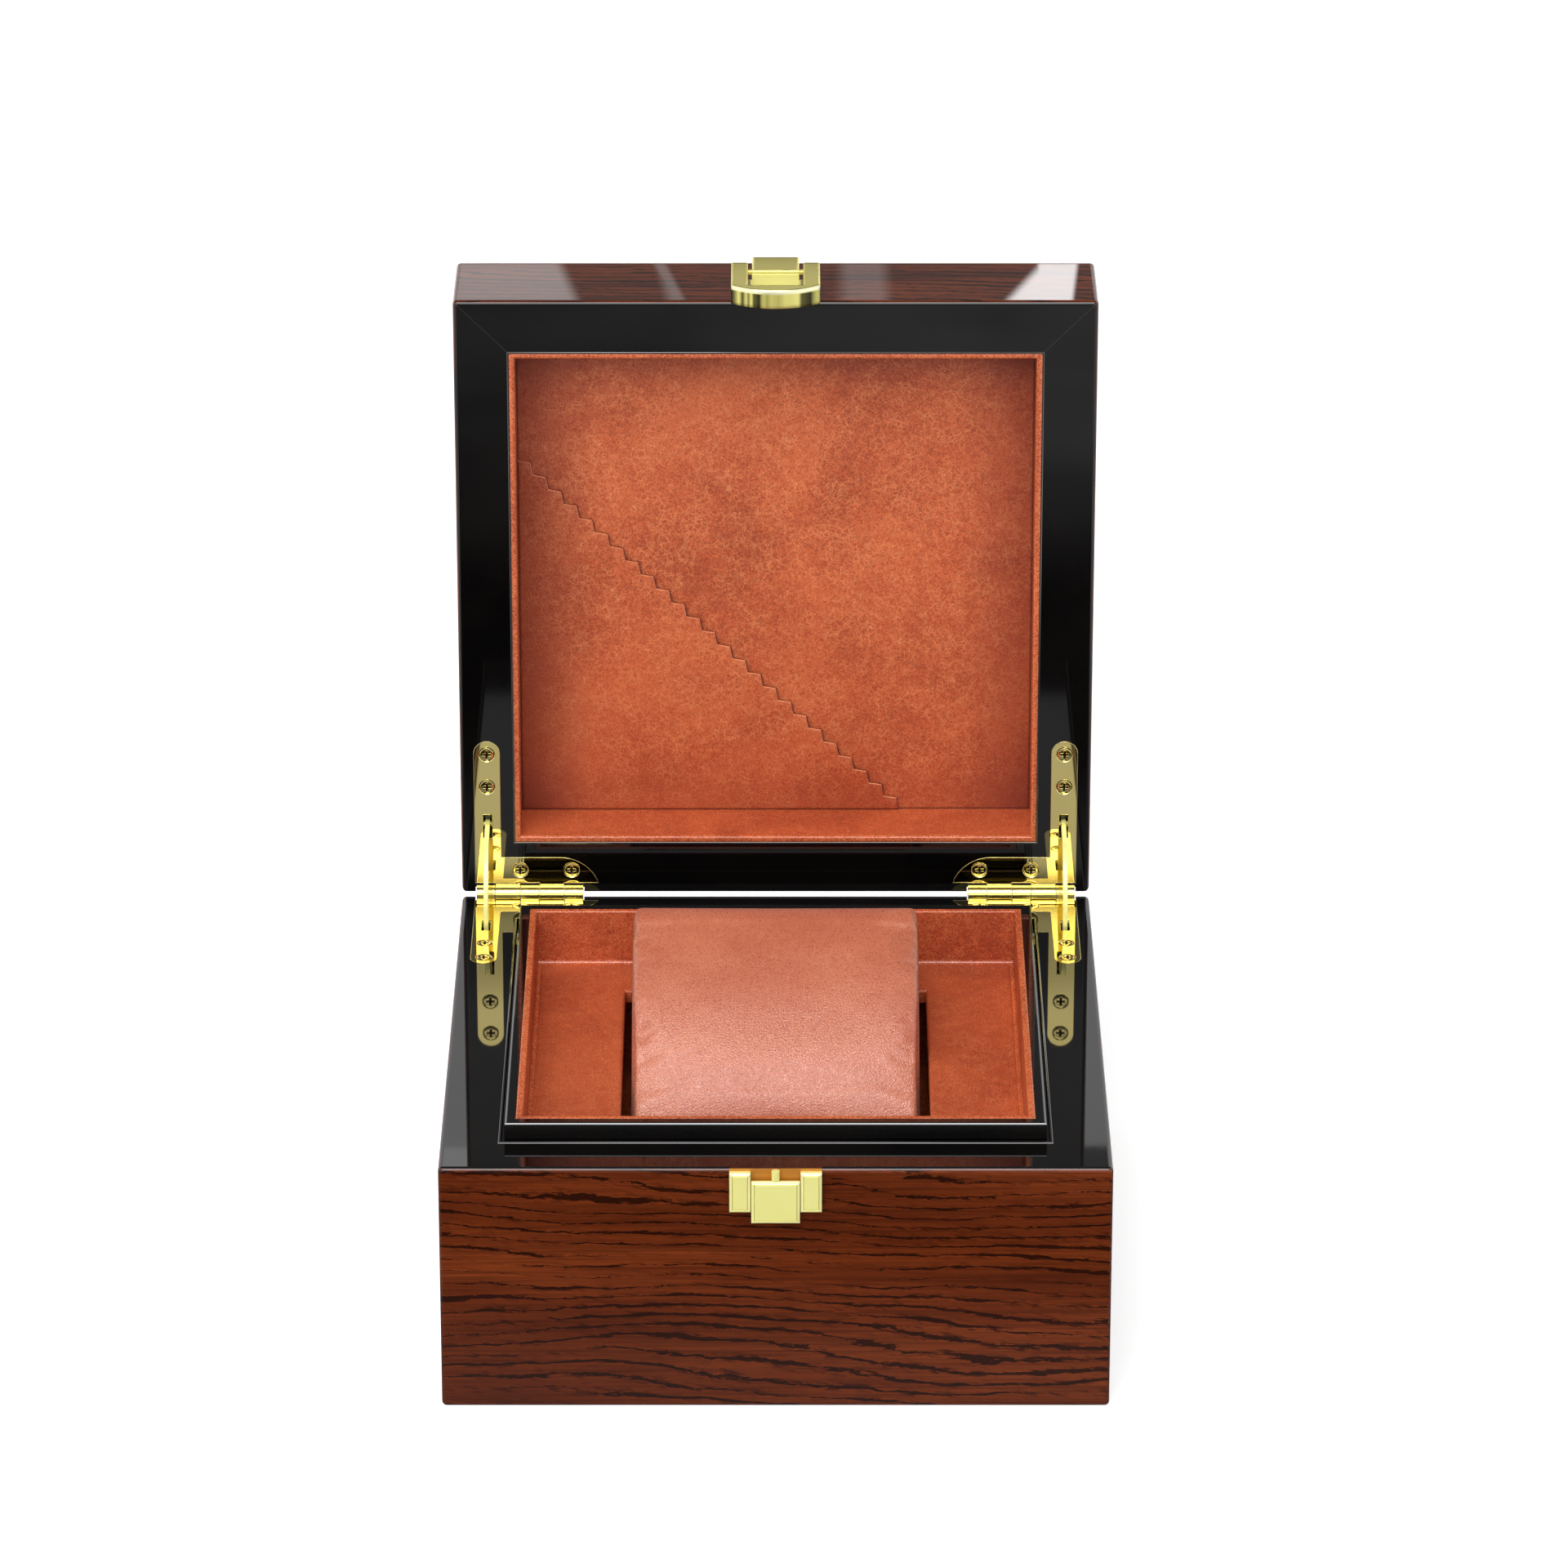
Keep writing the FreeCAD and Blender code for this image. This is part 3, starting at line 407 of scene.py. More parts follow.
POLISHED = gilt(
    "polished_gilt_plate", (249, 230, 152), (244, 222, 138), roughness=0.03, metallic=1.0, edge=0.22 * MM
)
BOLD = gilt(
    "polished_gilt_round", (249, 234, 128), (244, 226, 112), roughness=0.05, metallic=1.0, edge=0.8 * MM
)
# The hasp's face: gilt with painted reflections in upright bands and a painted highlight along its top
BANDED_GILT = gilt(
    "gilt_plate_painted_reflections", (250, 242, 140), (240, 228, 120), roughness=0.15, metallic=0.6, edge=1.1 * MM,
    painted_bands=REFLECTION_BANDS,
)
SATIN = gilt(
    "satin_gilt_plate", (250, 246, 156), (246, 240, 142), roughness=0.40, metallic=0.3, edge=0.2 * MM,
    grain=0.12,
)
# Paler gilt on the cut edges of the latch: painted highlight
CHAMFER_HIGHLIGHT = gilt(
    "satin_gilt_chamfer_painted_highlight", (255, 254, 208), (252, 250, 196), roughness=0.40, metallic=0.2, edge=0.05 * MM
)
# Darker gilt in the latch's fine grooves: painted shade
GROOVE_SHADE = gilt(
    "satin_gilt_groove_painted_shade", (206, 196, 100), (196, 186, 92), roughness=0.40, metallic=0.3, edge=0.02 * MM
)
BARREL = gilt(
    "barrel_gilt_plate", (226, 208, 122), (216, 196, 108), roughness=0.16, metallic=1.0, edge=0.1 * MM
)
# Dark gilt: painted shade in the gaps between hinge knuckles and in the screws' crosses and round their rims
GILT_SHADE = gilt(
    "gilt_painted_shade", (52, 42, 14), (36, 28, 10), roughness=0.4, metallic=0.6, edge=0.05 * MM
)
# Coppery gilt: the leather's orange painted on as a reflection where the latch plate lies bare
LEATHER_REFLECTION = gilt(
    "gilt_painted_leather_reflection", (200, 132, 48), (190, 122, 42), roughness=0.4, metallic=0.3, edge=0.1 * MM
)


def paint(name, materials, choose=None):
    """Gives a CAD node its materials; choose picks one by face centre and normal."""
    mesh = nodes[name].data
    mesh.materials.clear()
    for material in materials:
        mesh.materials.append(material)
    for face in mesh.polygons:
        face.material_index = choose(face.center, face.normal) if choose else 0


def board_face(low, high, rim):
    """Veneer outside and on the outer edges, dark lacquer on the rim and inside."""
    skin = 1.3 * MM
    on_rim, sloping = 0.8, 0.3

    def choose(centre, normal):
        if normal.dot(rim) > on_rim:
            return 1
        outer = any(
            abs(centre[axis] - end[axis]) < skin
            for end in (low, high)
            for axis in range(3)
            if not rim[axis]
        )
        back = any(abs(normal[axis]) > sloping for axis in range(3) if rim[axis])
        return 0 if outer or back else 1

    return choose


for side in SIDES:
    across = side in ("front", "rear")
    base_wood = WOOD["x" if across else "y"]
    lid_wood = LINED_WOOD if side == "front" else WOOD["x" if across else "z"]
    paint(f"base_board_{side}", (base_wood, DARK), board_face(base_low, base_high, UP))
    paint(f"lid_board_{side}", (lid_wood, LID_DARK), board_face(lid_low, lid_high, FORWARD))
paint("lid_top", (WOOD["x"],))

SLOT_MATERIALS = {
    "dark_lacquer": DARK,
    "lining_leather": LINING,
    "cushion_leather": CUSHION,
    "polished_gilt": POLISHED,
    "satin_gilt": SATIN,
}
for part in frame["record"]["subparts"]:
    if part["material_slot"] in SLOT_MATERIALS:
        paint(part["node"], (SLOT_MATERIALS[part["material_slot"]],))

# Pieces with another look than the rest of their slot, whole or on some of their faces
for side in SIDES:
    paint(f"tray_lining_{side}", (LINING, LIP), lambda centre, normal: int(normal.z > 0.5))
    paint(f"inner_frame_{side}", (DARK, BUFFED), lambda centre, normal: int(0.2 < normal.z < 0.97))
paint("lid_lining_panel", (PANEL,))
paint("latch_hasp", (BOLD, BANDED_GILT), lambda centre, normal: int(normal.y < -0.5))
paint("lid_latch_plate", (BOLD, SATIN), lambda centre, normal: int(normal.y < -0.7))
paint("hasp_pin", (SATIN,))
hinge = Vector(frame["record"]["behaviour"]["joints"][0]["pos_m"])


def barrel_face(centre, normal):
    """The knuckles of a hinge leaf, which lie close round the hinge's axis, and their ends, darkened as
    painted shade in the gaps between knuckles.
    """
    reach = 2.5 * MM
    if math.hypot(centre.y - hinge.y, centre.z - hinge.z) > reach:
        return 0
    # Knuckle ends get the dark gilt of painted shade in the gaps
    return 2 if abs(normal.x) > 0.9 else 1


for side in HANDS:
    paint(f"stay_arm_{side}", (SATIN,))
    for leaf in ("base", "lid"):
        paint(f"{leaf}_hinge_leaf_{side}", (POLISHED, BARREL, GILT_SHADE), barrel_face)
button_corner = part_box("latch_button")[1]


def plate_face(centre, normal):
    """Satin posts, a coppery painted reflection of the leather where the plate lies bare, and its top
    lacquered over with the rim.
    """
    rim_skin, above_button, below_button = 0.3 * MM, 1.9 * MM, 4 * MM
    if normal.z > 0.8 and centre.z > base_high.z - rim_skin:
        return 2
    bare = abs(centre.x) < button_corner.x or centre.z > button_corner.z + above_button
    return int(bare and centre.z > button_corner.z - below_button)


paint("base_latch_plate", (SATIN, LEATHER_REFLECTION, DARK), plate_face)


def link_object(name, data):
    item = bpy.data.objects.new(name, data)
    bpy.context.scene.collection.objects.link(item)
    return item


def mesh_from(name, form, *materials):
    """A mesh with the faces of a bmesh, which is used up."""
    mesh = bpy.data.meshes.new(name)
    form.to_mesh(mesh)
    form.free()
    for material in materials:
        mesh.materials.append(material)
    return mesh


def welded(name):
    """A CAD node's mesh with its faces joined."""
    form = bmesh.new()
    form.from_mesh(nodes[name].data)
    bmesh.ops.remove_doubles(form, verts=form.verts, dist=WELD)
    return form


def bridge(form, first, second):
    """Joins two loops of points by a ring of faces."""
    faces = []
    for here in range(len(first)):
        after = (here + 1) % len(first)
        faces.append(form.faces.new((first[here], first[after], second[after], second[here])))
    return faces


def applied(item):
    """An object's mesh with its modifiers worked in."""
    return bpy.data.meshes.new_from_object(item.evaluated_get(bpy.context.evaluated_depsgraph_get()))


def swell(item, reach, bounds):
    """Puffs a closed mesh up as cloth under pressure; no point moves further than reach or out of bounds."""
    scene = bpy.context.scene
    frames = 20
    before = [vert.co.copy() for vert in item.data.vertices]
    cloth = item.modifiers.new("cloth", "CLOTH")
    cloth.settings.quality = 6
    cloth.settings.mass = 0.01
    cloth.settings.tension_stiffness = 8
    cloth.settings.compression_stiffness = 8
    cloth.settings.bending_stiffness = 0.3
    cloth.settings.use_pressure = True
    cloth.settings.uniform_pressure_force = 4
    cloth.settings.effector_weights.gravity = 0
    cloth.point_cache.frame_end = frames
    for step in range(1, frames + 1):
        scene.frame_set(step)
    puffed = item.evaluated_get(bpy.context.evaluated_depsgraph_get()).data
    after = [vert.co.copy() for vert in puffed.vertices]
    scene.frame_set(1)
    item.modifiers.remove(cloth)
    low, high = bounds
    for vert, start, end in zip(item.data.vertices, before, after):
        move = end - start
        if move.length > reach:
            move *= reach / move.length
        vert.co = [min(max(value, least), most) for value, least, most in zip(start + move, low, high)]


def cushion():
    """The leather pillow: the CAD form's full section from side to side, puffed out as cloth."""
    inset, slack, voxel, puff = 0.35 * MM, 0.1 * MM, 1.0 * MM, 1.0 * MM
    source = nodes["watch_cushion"].data
    inner = min(abs(v.co.x) for v in source.vertices)
    loop = {(round(v.co.y, 6), round(v.co.z, 6)) for v in source.vertices if abs(v.co.x) < inner + slack}
    centre = Vector((sum(p[0] for p in loop) / len(loop), sum(p[1] for p in loop) / len(loop)))
    loop = [Vector(p) for p in sorted(loop, key=lambda p: math.atan2(p[1] - centre.y, p[0] - centre.x))]
    low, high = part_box("watch_cushion")
    form = bmesh.new()
    rows = []
    for reach in (inset - high.x, high.x - inset):
        row = []
        for point in loop:
            inward = (centre - point).normalized() * inset
            row.append(form.verts.new((reach, point.x + inward.x, point.y + inward.y)))
        rows.append(row)
    bridge(form, *rows)
    for row in rows:
        form.faces.new(row)
    bmesh.ops.recalc_face_normals(form, faces=form.faces)
    pillow = link_object("cushion_pillow", mesh_from("cushion_pillow", form))
    even = pillow.modifiers.new("even", "REMESH")
    even.mode = "VOXEL"
    even.voxel_size = voxel
    pillow.data = applied(pillow)
    pillow.modifiers.clear()
    swell(pillow, puff, (low, high))
    pillow.data.materials.clear()
    pillow.data.materials.append(CUSHION)
    for face in pillow.data.polygons:
        face.use_smooth = True
        face.material_index = 0
    finer = pillow.modifiers.new("finer", "SUBSURF")
    finer.levels = 1
    finer.render_levels = 1
    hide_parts("watch_cushion")
    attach(pillow, "cushion")


cushion()


def outline(name, facing):
    """The border of a CAD node's flat face, as a loop of points."""
    form = welded(name)
    flat = {face for face in form.faces if face.normal.dot(facing) > 0.99}
    border = [edge for edge in form.edges if sum(face in flat for face in edge.link_faces) == 1]
    ahead = {}
    for edge in border:
        for vert in edge.verts:
            ahead.setdefault(vert, []).append(edge.other_vert(vert))
    start = next(iter(ahead))
    loop, before, here = [], None, start
    while here is not start or before is None:
        loop.append(here.co.copy())
        before, here = here, next(vert for vert in ahead[here] if vert is not before)
    form.free()
    return loop


def inside(point, loop):
    """Whether a point lies in a loop, by counting the sides to its right."""
    found = False
    for here, after in zip(loop, loop[1:] + loop[:1]):
        if (here.y > point.y) != (after.y > point.y):
            cross = here.x + (point.y - here.y) / (after.y - here.y) * (after.x - here.x)
            found ^= point.x < cross
    return found


def pocket():
    """The corner pocket: a thin leather sheet whose pinked mouth stands a little off the panel, its cut edge
    paler as a painted highlight, with a dark sheet behind it as painted shade under the mouth.
    """
    spacing, crowded = 2 * MM, 0.4
    stand, thick, shade_shift, bevel = 0.7 * MM, 0.5 * MM, 0.2 * MM, 0.1 * MM
    sewn = 0.12  # share of the width and height over which the sheet leaves its sewn sides
    low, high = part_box("card_pocket")
    width, height = high.x - low.x, high.z - low.z
    corners = [Vector((point.x, point.z)) for point in outline("card_pocket", FORWARD)]
    border = []
    for here, after in zip(corners, corners[1:] + corners[:1]):
        count = max(1, math.ceil((after - here).length / spacing))
        border += [here.lerp(after, step / count) for step in range(count)]
    points = list(border)
    for column in range(int(width / spacing)):
        for row in range(int(height / spacing)):
            point = Vector((low.x + (column + 0.5) * spacing, low.z + (row + 0.5) * spacing))
            if inside(point, corners) and min((point - other).length for other in border) > crowded * spacing:
                points.append(point)
    sides = [(here, (here + 1) % len(border)) for here in range(len(border))]
    inner_only, nearness = 1, 1e-7
    flat, _, faces, _, _, _ = delaunay_2d_cdt(points, sides, [], inner_only, nearness)
    area = sum(abs((flat[b] - flat[a]).cross(flat[c] - flat[a])) / 2 for a, b, c in faces)
    places = []
    for point in flat:
        right, up = (point.x - low.x) / width, (point.y - low.z) / height
        loose = min(1, right / sewn) * min(1, up / sewn) * min(1, right + up) ** 3
        places.append((point.x, high.y - 0.5 * thick - stand * loose, point.y))
    # A dark sheet behind the pocket, pushed out past its mouth: painted shade under the pinked edge
    behind = [(x + shade_shift, y + 0.6 * thick, z) for x, y, z in places]
    pieces = []
    for name, spots, depth, materials in (
        ("pocket_sheet", places, thick, (POCKET, EDGE_HIGHLIGHT)),
        ("pocket_shade_under_mouth", behind, 0.5 * thick, (PAINTED_SHADE_LEATHER,)),
    ):
        mesh = bpy.data.meshes.new(name)
        mesh.from_pydata(spots, [], faces)
        for material in materials:
            mesh.materials.append(material)
        mesh.shade_smooth()
        item = link_object(name, mesh)
        body = item.modifiers.new("thickness", "SOLIDIFY")
        body.thickness = depth
        body.offset = 0
        body.material_offset_rim = len(materials) - 1
        pieces.append(item)
    sheet, shade_backing = pieces
    edges = sheet.modifiers.new("edges", "BEVEL")
    edges.width = bevel
    edges.segments = 2
    edges.limit_method = "ANGLE"
    edges.angle_limit = math.radians(60)
    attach(shade_backing, "lid")
    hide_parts("card_pocket")
    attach(sheet, "lid")


pocket()


def ring(name, centre, half, section, material, body, standing=False):
    """A mitred rectangular ring, lying or standing, round a rectangle of two half sizes.

    The section's points are (outward, up) from the rectangle's edge; a standing ring's up is forward.
    """
    form = bmesh.new()
    loops = []
    for out, up in section:
        loop = []
        for x, y in CORNERS:
            across, along = x * (half[0] + out), y * (half[1] + out)
            place = Vector((across, -up, along)) if standing else Vector((across, along, up))
            loop.append(form.verts.new(centre + place))
        loops.append(loop)
    for first, second in zip(loops, loops[1:] + loops[:1]):
        bridge(form, first, second)
    bmesh.ops.recalc_face_normals(form, faces=form.faces)
    mesh = mesh_from(name, form, material)
    mesh.shade_smooth()
    mesh.set_sharp_from_angle(angle=math.radians(50))
    item = link_object(name, mesh)
    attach(item, body)


def arc(middle, radius, first, last, count):
    """Points on an arc, by degrees from outward towards up."""
    turns = [math.radians(first + (last - first) * step / count) for step in range(count + 1)]
    return [(middle[0] + radius * math.cos(turn), middle[1] + radius * math.sin(turn)) for turn in turns]


def trims():
    """Trims along edges: the board's leather cove, the lid's leather lip, and the lacquered beads."""
    # The cove bends up from the board to the tray's lining, with a foot that is sunk in the board
    low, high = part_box("lift_out_board")
    gap, bend, wall, below, sunk = 0.4 * MM, 0.85 * MM, 0.06 * MM, 0.6 * MM, 0.02 * MM
    cove = arc((-bend, bend), bend, -90, 0, 8) + [(wall, bend), (wall, -below), (-bend, -below)]
    ring(
        "board_cove", Vector((0, (low.y + high.y) / 2, high.z - sunk)),
        (high.x + gap, (high.y - low.y) / 2 + gap), cove, LIP, "lift_out_board",
    )

    # The lip folds over the lining's edge, and the bead runs round it on the lacquered rim
    low, high = lining_low, lining_high
    middle = Vector((0, lid_low.y, (low.z + high.z) / 2))
    half = (high.x, (high.z - low.z) / 2)
    wide, fold, crest = 1.28 * MM, 0.7 * MM, 0.02 * MM
    lip = [(0, -1.0 * MM), (0, -0.12 * MM), (-0.3 * MM, crest)]
    lip += arc((fold - wide, crest - fold), fold, 90, 180, 8)
    lip += [(-wide, -1.6 * MM), (-0.9 * MM, -2.6 * MM)]
    ring("lid_lip", middle, half, lip, LIP, "lid", standing=True)
    radius, under = 0.22 * MM, 0.3 * MM
    bead = [(0, -under)] + arc((radius, 0), radius, 180, 0, 6) + [(2 * radius, -under)]
    ring("lid_rim_bead", middle, half, bead, BUFFED, "lid", standing=True)

    # The frame's foot is cut off flat where it meets the rim
    high = around("inner_frame")[1]
    foot, seam = 0.22 * MM, 0.3 * MM
    cut_foot = [(-seam, foot), (0, foot), (foot, 0), (-seam, 0)]
    ring(
        "frame_bead", Vector((0, 0, base_high.z)), (high.x - seam, high.y - seam), cut_foot,
        BUFFED, "base",
    )


trims()


def blocks(name, boxes, body):
    """Boxes whose front edges are cut off all round, with a fine groove inside the cut; the cut is in paler
    gilt as a painted highlight, and the groove in darker gilt as painted shade.
    """
    form = bmesh.new()
    cut, line = 0.5 * MM, 0.2 * MM
    for low, high in boxes:
        profile = (
            (high.y, 0),
            (low.y + 0.7 * cut, 0),
            (low.y, cut),
            (low.y + 0.5 * line, cut + 0.5 * line),
            (low.y, cut + line),
        )
        rows = []
        for depth, inset in profile:
            left, right = low.x + inset, high.x - inset
            bottom, top = low.z + inset, high.z - inset
            places = ((left, bottom), (right, bottom), (right, top), (left, top))
            rows.append([form.verts.new((x, depth, z)) for x, z in places])
        for index, (first, second) in enumerate(zip(rows, rows[1:])):
            for face in bridge(form, first, second):
                # Sides satin, the cut in paler gilt for a painted highlight, the groove in darker gilt for
                # painted shade
                face.material_index = min(index, 2)
        form.faces.new(rows[0])
        form.faces.new(rows[-1])
    bmesh.ops.recalc_face_normals(form, faces=form.faces)
    item = link_object(name, mesh_from(name, form, SATIN, CHAMFER_HIGHLIGHT, GROOVE_SHADE))
    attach(item, body)


def latch_faces():
    """The cut fronts of the push button and of the two posts beside it."""
    cover, proud, button_deep = 0.04 * MM, 0.1 * MM, 0.9 * MM
    button_low, button_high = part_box("latch_button")
    button_front = button_low - Vector((cover, proud, cover))
    button_back = Vector((button_high.x + cover, button_low.y + button_deep, button_high.z + cover))
    blocks("button_face", [(button_front, button_back)], "button")
    low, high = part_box("base_latch_plate")
    beside, post_proud, post_deep, below_top = 0.2 * MM, 0.12 * MM, 1.2 * MM, 0.55 * MM
    inner = button_high.x + beside
    front, back = low.y - post_proud, low.y + post_deep
    top = high.z - below_top
    posts = [
        (Vector((left, front, low.z)), Vector((right, back, top)))
        for left, right in ((-high.x, -inner), (inner, high.x))
    ]
    blocks("latch_post_faces", posts, "base")


latch_faces()


def screw_cutter():
    """A cross recess whose arms taper as they go down."""
    length, width, above, depth = 1.15 * MM, 0.3 * MM, 0.4 * MM, 0.7 * MM
    taper = 0.55
    form = bmesh.new()
    for along, across in ((length, width), (width, length)):
        top = [form.verts.new((x * along, y * across, above)) for x, y in CORNERS]
        low = [form.verts.new((x * along * taper, y * across * taper, -depth)) for x, y in CORNERS]
        form.faces.new(top)
        form.faces.new(reversed(low))
        bridge(form, low, top)
    return link_object("screw_cutter", mesh_from("screw_cutter", form))


def screw_head():
    """A domed countersunk head, its rim set a little below the leaf, with a cross recess."""
    crown_height = 0.05
    # Radius and height in millimetres, from the crown outward and down
    profile = (
        (0.5, 0.045), (1.0, 0.03), (1.4, 0.0), (1.54, -0.03), (1.62, -0.1), (1.68, -0.2), (0.9, -0.9),
    )
    form = bmesh.new()
    steps = 40
    turns = [2 * math.pi * step / steps for step in range(steps)]
    rings = []
    for reach, height in profile:
        rings.append([
            form.verts.new((reach * MM * math.cos(turn), reach * MM * math.sin(turn), height * MM))
            for turn in turns
        ])
    crown = form.verts.new((0, 0, crown_height * MM))
    for step in range(steps):
        after = (step + 1) % steps
        form.faces.new((crown, rings[0][step], rings[0][after]))
        for outer, inner in zip(rings[1:], rings):
            form.faces.new((inner[step], outer[step], outer[after], inner[after]))
    form.faces.new(reversed(rings[-1]))
    head = link_object("screw_head", mesh_from("screw_head", form))
    cutter = screw_cutter()
    cross = head.modifiers.new("cross", "BOOLEAN")
    cross.object = cutter
    cross.operation = "DIFFERENCE"
    cross.solver = "EXACT"
    cross.use_self = True
    done = applied(head)
    bpy.data.objects.remove(head)
    bpy.data.objects.remove(cutter)
    return done


def islands(name):
    """The boxes of a CAD node's separate solids."""
    form = welded(name)
    left = set(form.verts)
    boxes = []
    while left:
        reached = [left.pop()]
        for vert in reached:
            for edge in vert.link_edges:
                other = edge.other_vert(vert)
                if other in left:
                    left.remove(other)
                    reached.append(other)
        boxes.append(span([(vert.co, vert.co) for vert in reached]))
    form.free()
    return sorted(boxes, key=lambda box: tuple(box[0]))


def screws(part, side, head):
    """The four screw heads of one hinge leaf, darkened as painted shade in the crosses and round the rims."""
    sunk = -0.04 * MM
    form = bmesh.new()
    shaded_faces = set()
    node = f"{part}_hinge_screws_{side}"
    for low, high in islands(node):
        middle = (low + high) / 2
        if part == "base":
            place = Matrix.Translation((middle.x, middle.y, high.z))
        else:
            place = Matrix.Translation((middle.x, low.y, middle.z))
            place = place @ Matrix.Rotation(math.radians(90), 4, "X")
        start = len(form.verts)
        # Faces of the cross and of the sunk rim get the dark gilt of painted shade
        shaded_faces.update(len(form.faces) + face.index for face in head.polygons if face.center.z < sunk)
        form.from_mesh(head)
        form.verts.ensure_lookup_table()
        bmesh.ops.transform(form, matrix=place, verts=form.verts[start:])
    name = f"{part}_screw_heads_{side}"
    mesh = mesh_from(name, form, POLISHED, GILT_SHADE)
    for face in mesh.polygons:
        face.material_index = int(face.index in shaded_faces)
    mesh.shade_smooth()
    mesh.set_sharp_from_angle(angle=math.radians(35))
    item = link_object(name, mesh)
    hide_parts(node)
    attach(item, part)


head = screw_head()
for part in ("base", "lid"):
    for side in HANDS:
        screws(part, side, head)


def floor():
    """White to the camera but for the object's shadow; gloss shows it dark before the box, bright beyond."""
    reach, drop, glow = 4.0, 0.05 * MM, 0.58
    mesh = bpy.data.meshes.new("floor")
    mesh.from_pydata([(x * reach, y * reach, 0) for x, y in CORNERS], [], [(0, 1, 2, 3)])
    item = link_object("floor", mesh)
    item.location.z = -drop
    g = Graph(bpy.data.materials.new("floor_white"))
    path = g.node("ShaderNodeLightPath")
    spot = g.place()
    cloud = g.noise(spot, 3.0, detail=2)
    g.finish(
        Base_Color=g.mix(g.steps(cloud, 0.3, 0.7), grey(0.80), grey(0.83)),
        Roughness=0.8,
        Specular_IOR_Level=0.0,
        Emission_Color=grey(1),
        Emission_Strength=g.math("MULTIPLY", path.outputs["Is Camera Ray"], glow),
    )
    # What gloss shows of it: light at the sides and behind, and a smoky gleam well in front
    smoke = g.noise(g.vector_math("ADD", spot, (0.3, 0.1, 0.0)), 7.0, detail=3, roughness=0.5)
    x, y, _ = g.parts(spot)
    ahead = g.steps(y, -0.42, -0.24, 0.32, 0.015)
    ahead = g.math("MULTIPLY", ahead, g.math("MULTIPLY_ADD", x, 4.0, 1.0))
    behind = g.steps(y, 0.0, 0.15, 0.0, 0.9)
    close = g.steps(y, -0.15, -0.075, 0.0, 0.22)
    aside = g.steps(g.math("ABSOLUTE", x), 0.16, 0.34, 0.0, 0.9)
    sweep = g.math("MAXIMUM", g.math("MAXIMUM", aside, close), behind)
    sweep = g.math("MAXIMUM", sweep, g.math("MULTIPLY", ahead, g.steps(smoke, 0.3, 0.7, 0.4, 1.5)))
    card = g.fill(g.node("ShaderNodeEmission"), grey(1), sweep)
    mixed = g.node("ShaderNodeMixShader")
    mesh.materials.append(g.surface(
        g.fill(mixed, path.outputs["Is Glossy Ray"], g.shader.outputs[0], card)
    ))


floor()


def studio():
    """A room that is white to the camera; gloss and glass show it bright at both sides and dim between."""
    world = bpy.data.worlds.new("studio")
    bpy.context.scene.world = world
    g = Graph(world, "Background")
    rays = g.node("ShaderNodeLightPath").outputs
    x, _, _ = g.parts(g.node("ShaderNodeTexCoord").outputs["Generated"])
    mirrored = g.steps(g.math("ABSOLUTE", x), 0.35, 0.75, 0.2, 1.0)
    clear = g.math("MAXIMUM", rays["Is Glossy Ray"], rays["Is Transmission Ray"])
    fill_light = 0.42
    level = g.mix(clear, fill_light, mirrored, kind="FLOAT")
    g.finish(Color=grey(1), Strength=g.math("MAXIMUM", rays["Is Camera Ray"], level))


studio()


def lamp(name, place, size, power):
    """A soft lamp towards the box's middle that neither the camera nor gloss shows."""
    middle = Vector((0, 0, 0.09))
    light = bpy.data.lights.new(name, "AREA")
    light.shape = "RECTANGLE"
    light.size, light.size_y = size
    light.energy = power
    item = link_object(name, light)
    item.location = place
    item.rotation_euler = (middle - Vector(place)).to_track_quat("-Z", "Y").to_euler()
    item.visible_camera = False
    item.visible_glossy = False


lamp("front_softbox", place=(-0.4, -1.02, 1.125), size=(1.6, 1.1), power=19.5)
lamp("overhead", place=(-0.14, -0.30, 1.3), size=(0.6, 0.5), power=3.6)


def panel(name, corners, strength, soft, levels=()):
    """A lit card that only glossy surfaces show, soft over a share of its width at the left and right.

    Levels give its brightness by height, as (share of the height, brightness) pairs.
    """
    mesh = bpy.data.meshes.new(name)
    mesh.from_pydata(corners, [], [(0, 1, 2, 3)])
    layer = mesh.uv_layers.new(name="across")
    for corner, place in zip(layer.data, ((0, 0), (1, 0), (1, 1), (0, 1))):
        corner.uv = place
    item = link_object(name, mesh)
    g = Graph(bpy.data.materials.new(name + "_light"))
    across, up, _ = g.parts(g.node("ShaderNodeTexCoord").outputs["UV"])
    fade = g.math("MULTIPLY", g.steps(across, 0.0, soft), g.steps(across, 1.0 - soft, 1.0, 1.0, 0.0))
    if levels:
        fade = g.math("MULTIPLY", fade, g.grey_ramp(up, levels))
    glow = g.fill(g.node("ShaderNodeEmission"), grey(1), g.math("MULTIPLY", fade, strength))
    clear = g.node("ShaderNodeBsdfTransparent").outputs[0]
    mesh.materials.append(g.surface(g.fill(g.node("ShaderNodeAddShader"), glow, clear)))
    for ray in ("camera", "diffuse", "transmission", "volume_scatter", "shadow"):
        setattr(item, f"visible_{ray}", False)


def upright(depth, low, high, bottom, top=None):
    """Corners of an upright card between two heights, by its left and right ends at the bottom and top."""
    top = top or bottom
    return [(bottom[0], depth, low), (bottom[1], depth, low), (top[1], depth, high), (top[0], depth, high)]


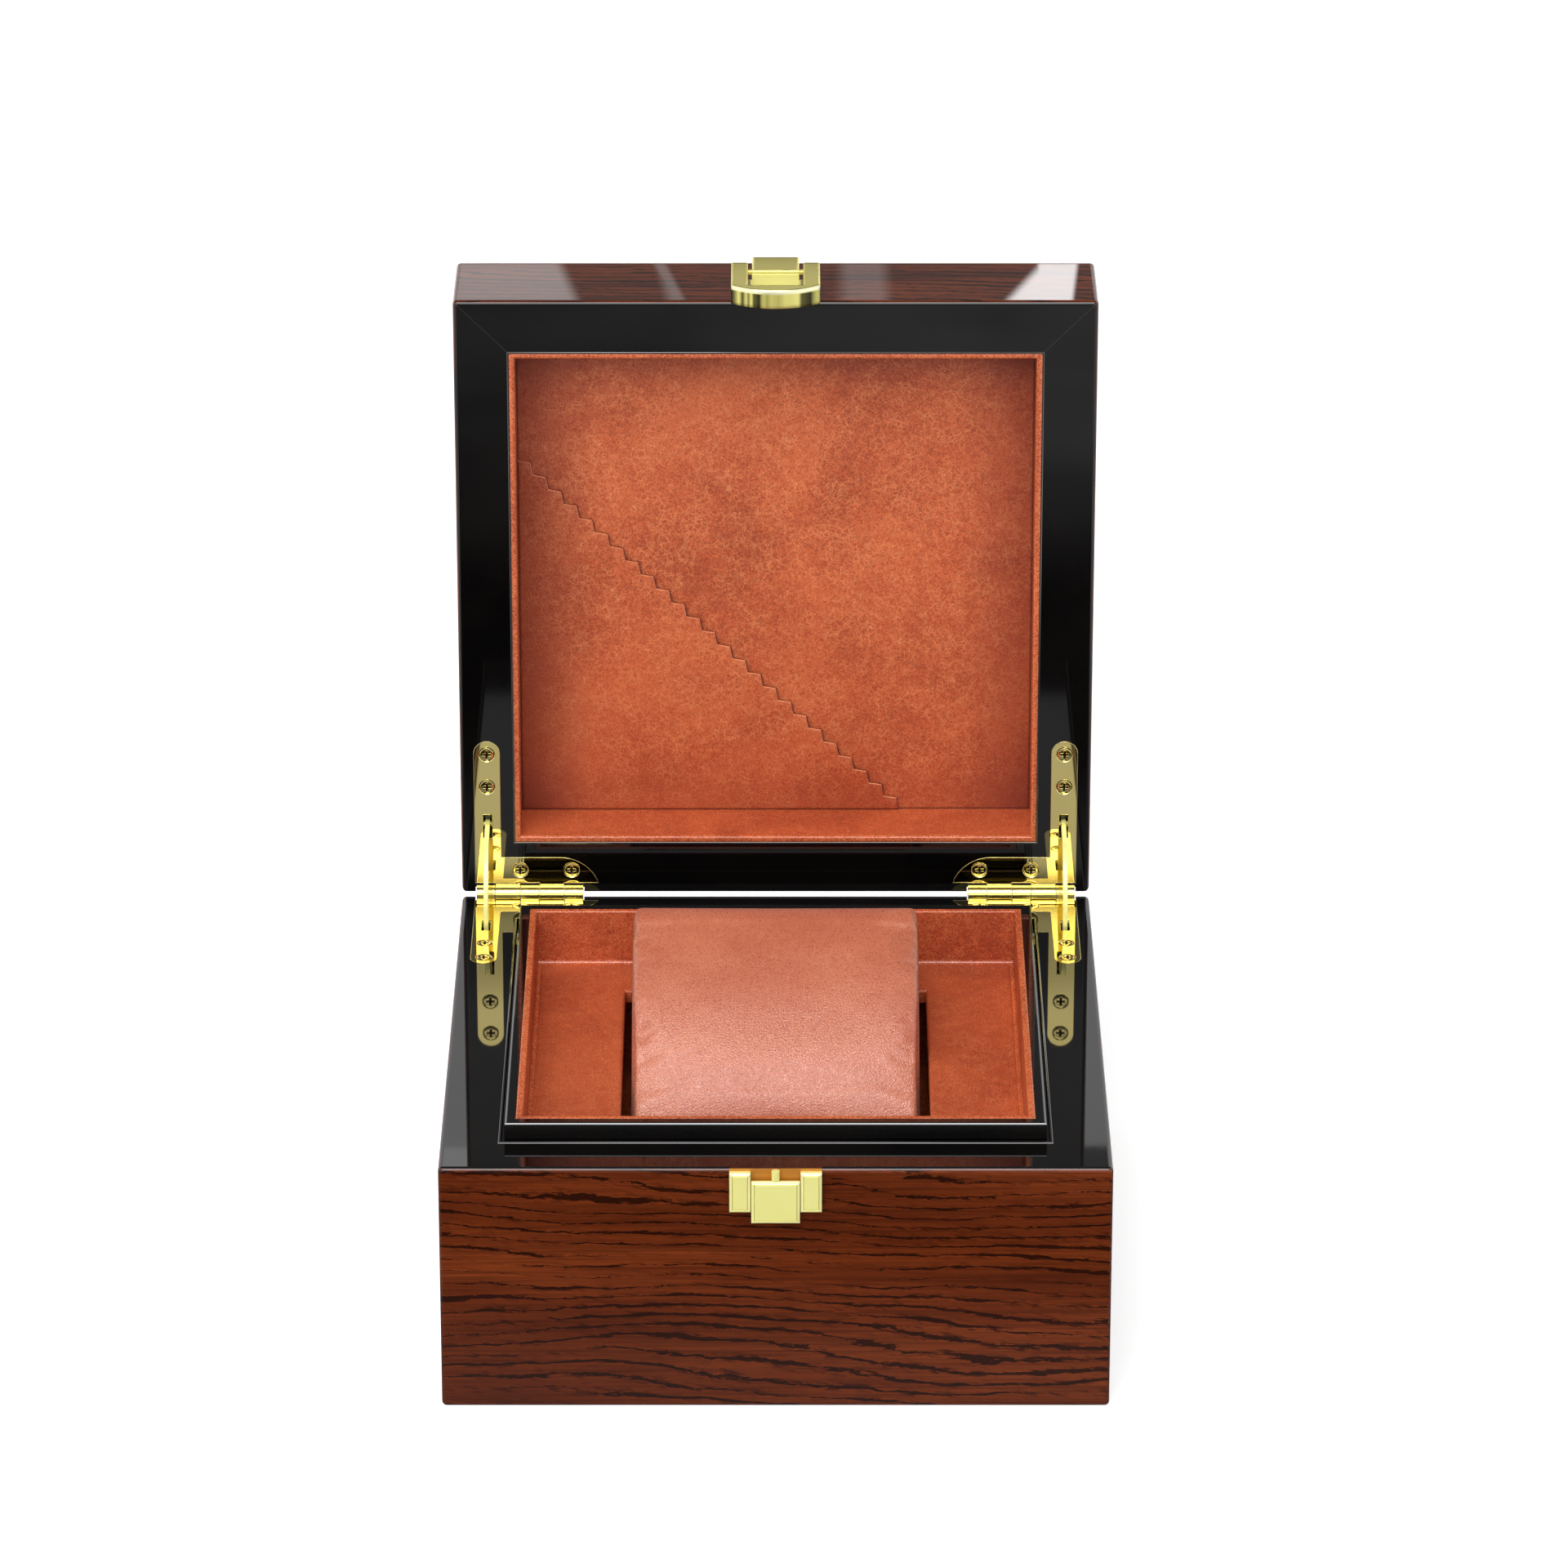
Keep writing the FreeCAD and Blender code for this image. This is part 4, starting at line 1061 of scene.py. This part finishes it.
# Cards beside the camera and above the box, for the gilt and the edges that face them
FRONT = -1.445
FRONT_ENDS = (-1.3, 1.0)
TOP = ((-0.8, -1.35, 1.5), (0.5, -1.35, 1.5), (0.5, -0.45, 1.5), (-0.8, -0.45, 1.5))
panel("card_front_low", upright(FRONT, 0.63, 0.713, FRONT_ENDS), strength=3.0, soft=0.02)
panel(
    "card_front_high", upright(FRONT, 0.732, 1.732, FRONT_ENDS), strength=3.0, soft=0.02,
    levels=((0.0, 0.5), (0.03, 0.55), (0.045, 1.0), (0.09, 1.0), (0.2, 0.45), (1.0, 0.45)),
)
panel("card_top", TOP, strength=7.0, soft=0.15)

# Cards behind the box, mirrored by the base's rim and by the upper side of the open lid
BACK = 0.6
FOR_RIM = (0.1, 0.3715)
FOR_LID = (0.3717, 0.395)
FOR_LATCH = (0.384, 0.41)
panel("card_latch", upright(BACK, *FOR_LATCH, (-0.0165, 0.0165)), strength=0.3, soft=0.1)
panel("card_left", upright(BACK, *FOR_RIM, (-0.9, -0.084)), strength=0.7, soft=0.002)
panel("card_right", upright(BACK, *FOR_RIM, (0.084, 0.9)), strength=0.7, soft=0.002)
panel("card_left_high", upright(BACK, *FOR_LID, (-0.3, -0.0595), (-0.3, -0.050)), strength=1.1, soft=0.02)
panel("streak_left", upright(BACK, *FOR_LID, (-0.036, -0.0305), (-0.030, -0.019)), strength=0.55, soft=0.4)
panel("streak_right", upright(BACK, *FOR_LID, (0.016, 0.034), (0.016, 0.036)), strength=0.45, soft=0.3)
panel("strip_right", upright(BACK, *FOR_LID, (0.0745, 0.0875), (0.054, 0.085)), strength=4.0, soft=0.14)


def camera():
    """The photograph's camera, solved on the box's edges."""
    data = bpy.data.cameras.new("camera")
    data.sensor_width = 36
    data.lens = 181.083
    data.shift_x = 0.00536
    item = link_object("camera", data)
    item.location = (0, -1.54214, 0.76675)
    item.rotation_euler = (math.radians(67.0048), 0, 0)
    bpy.context.scene.camera = item


camera()
bpy.context.scene.view_settings.view_transform = "Standard"
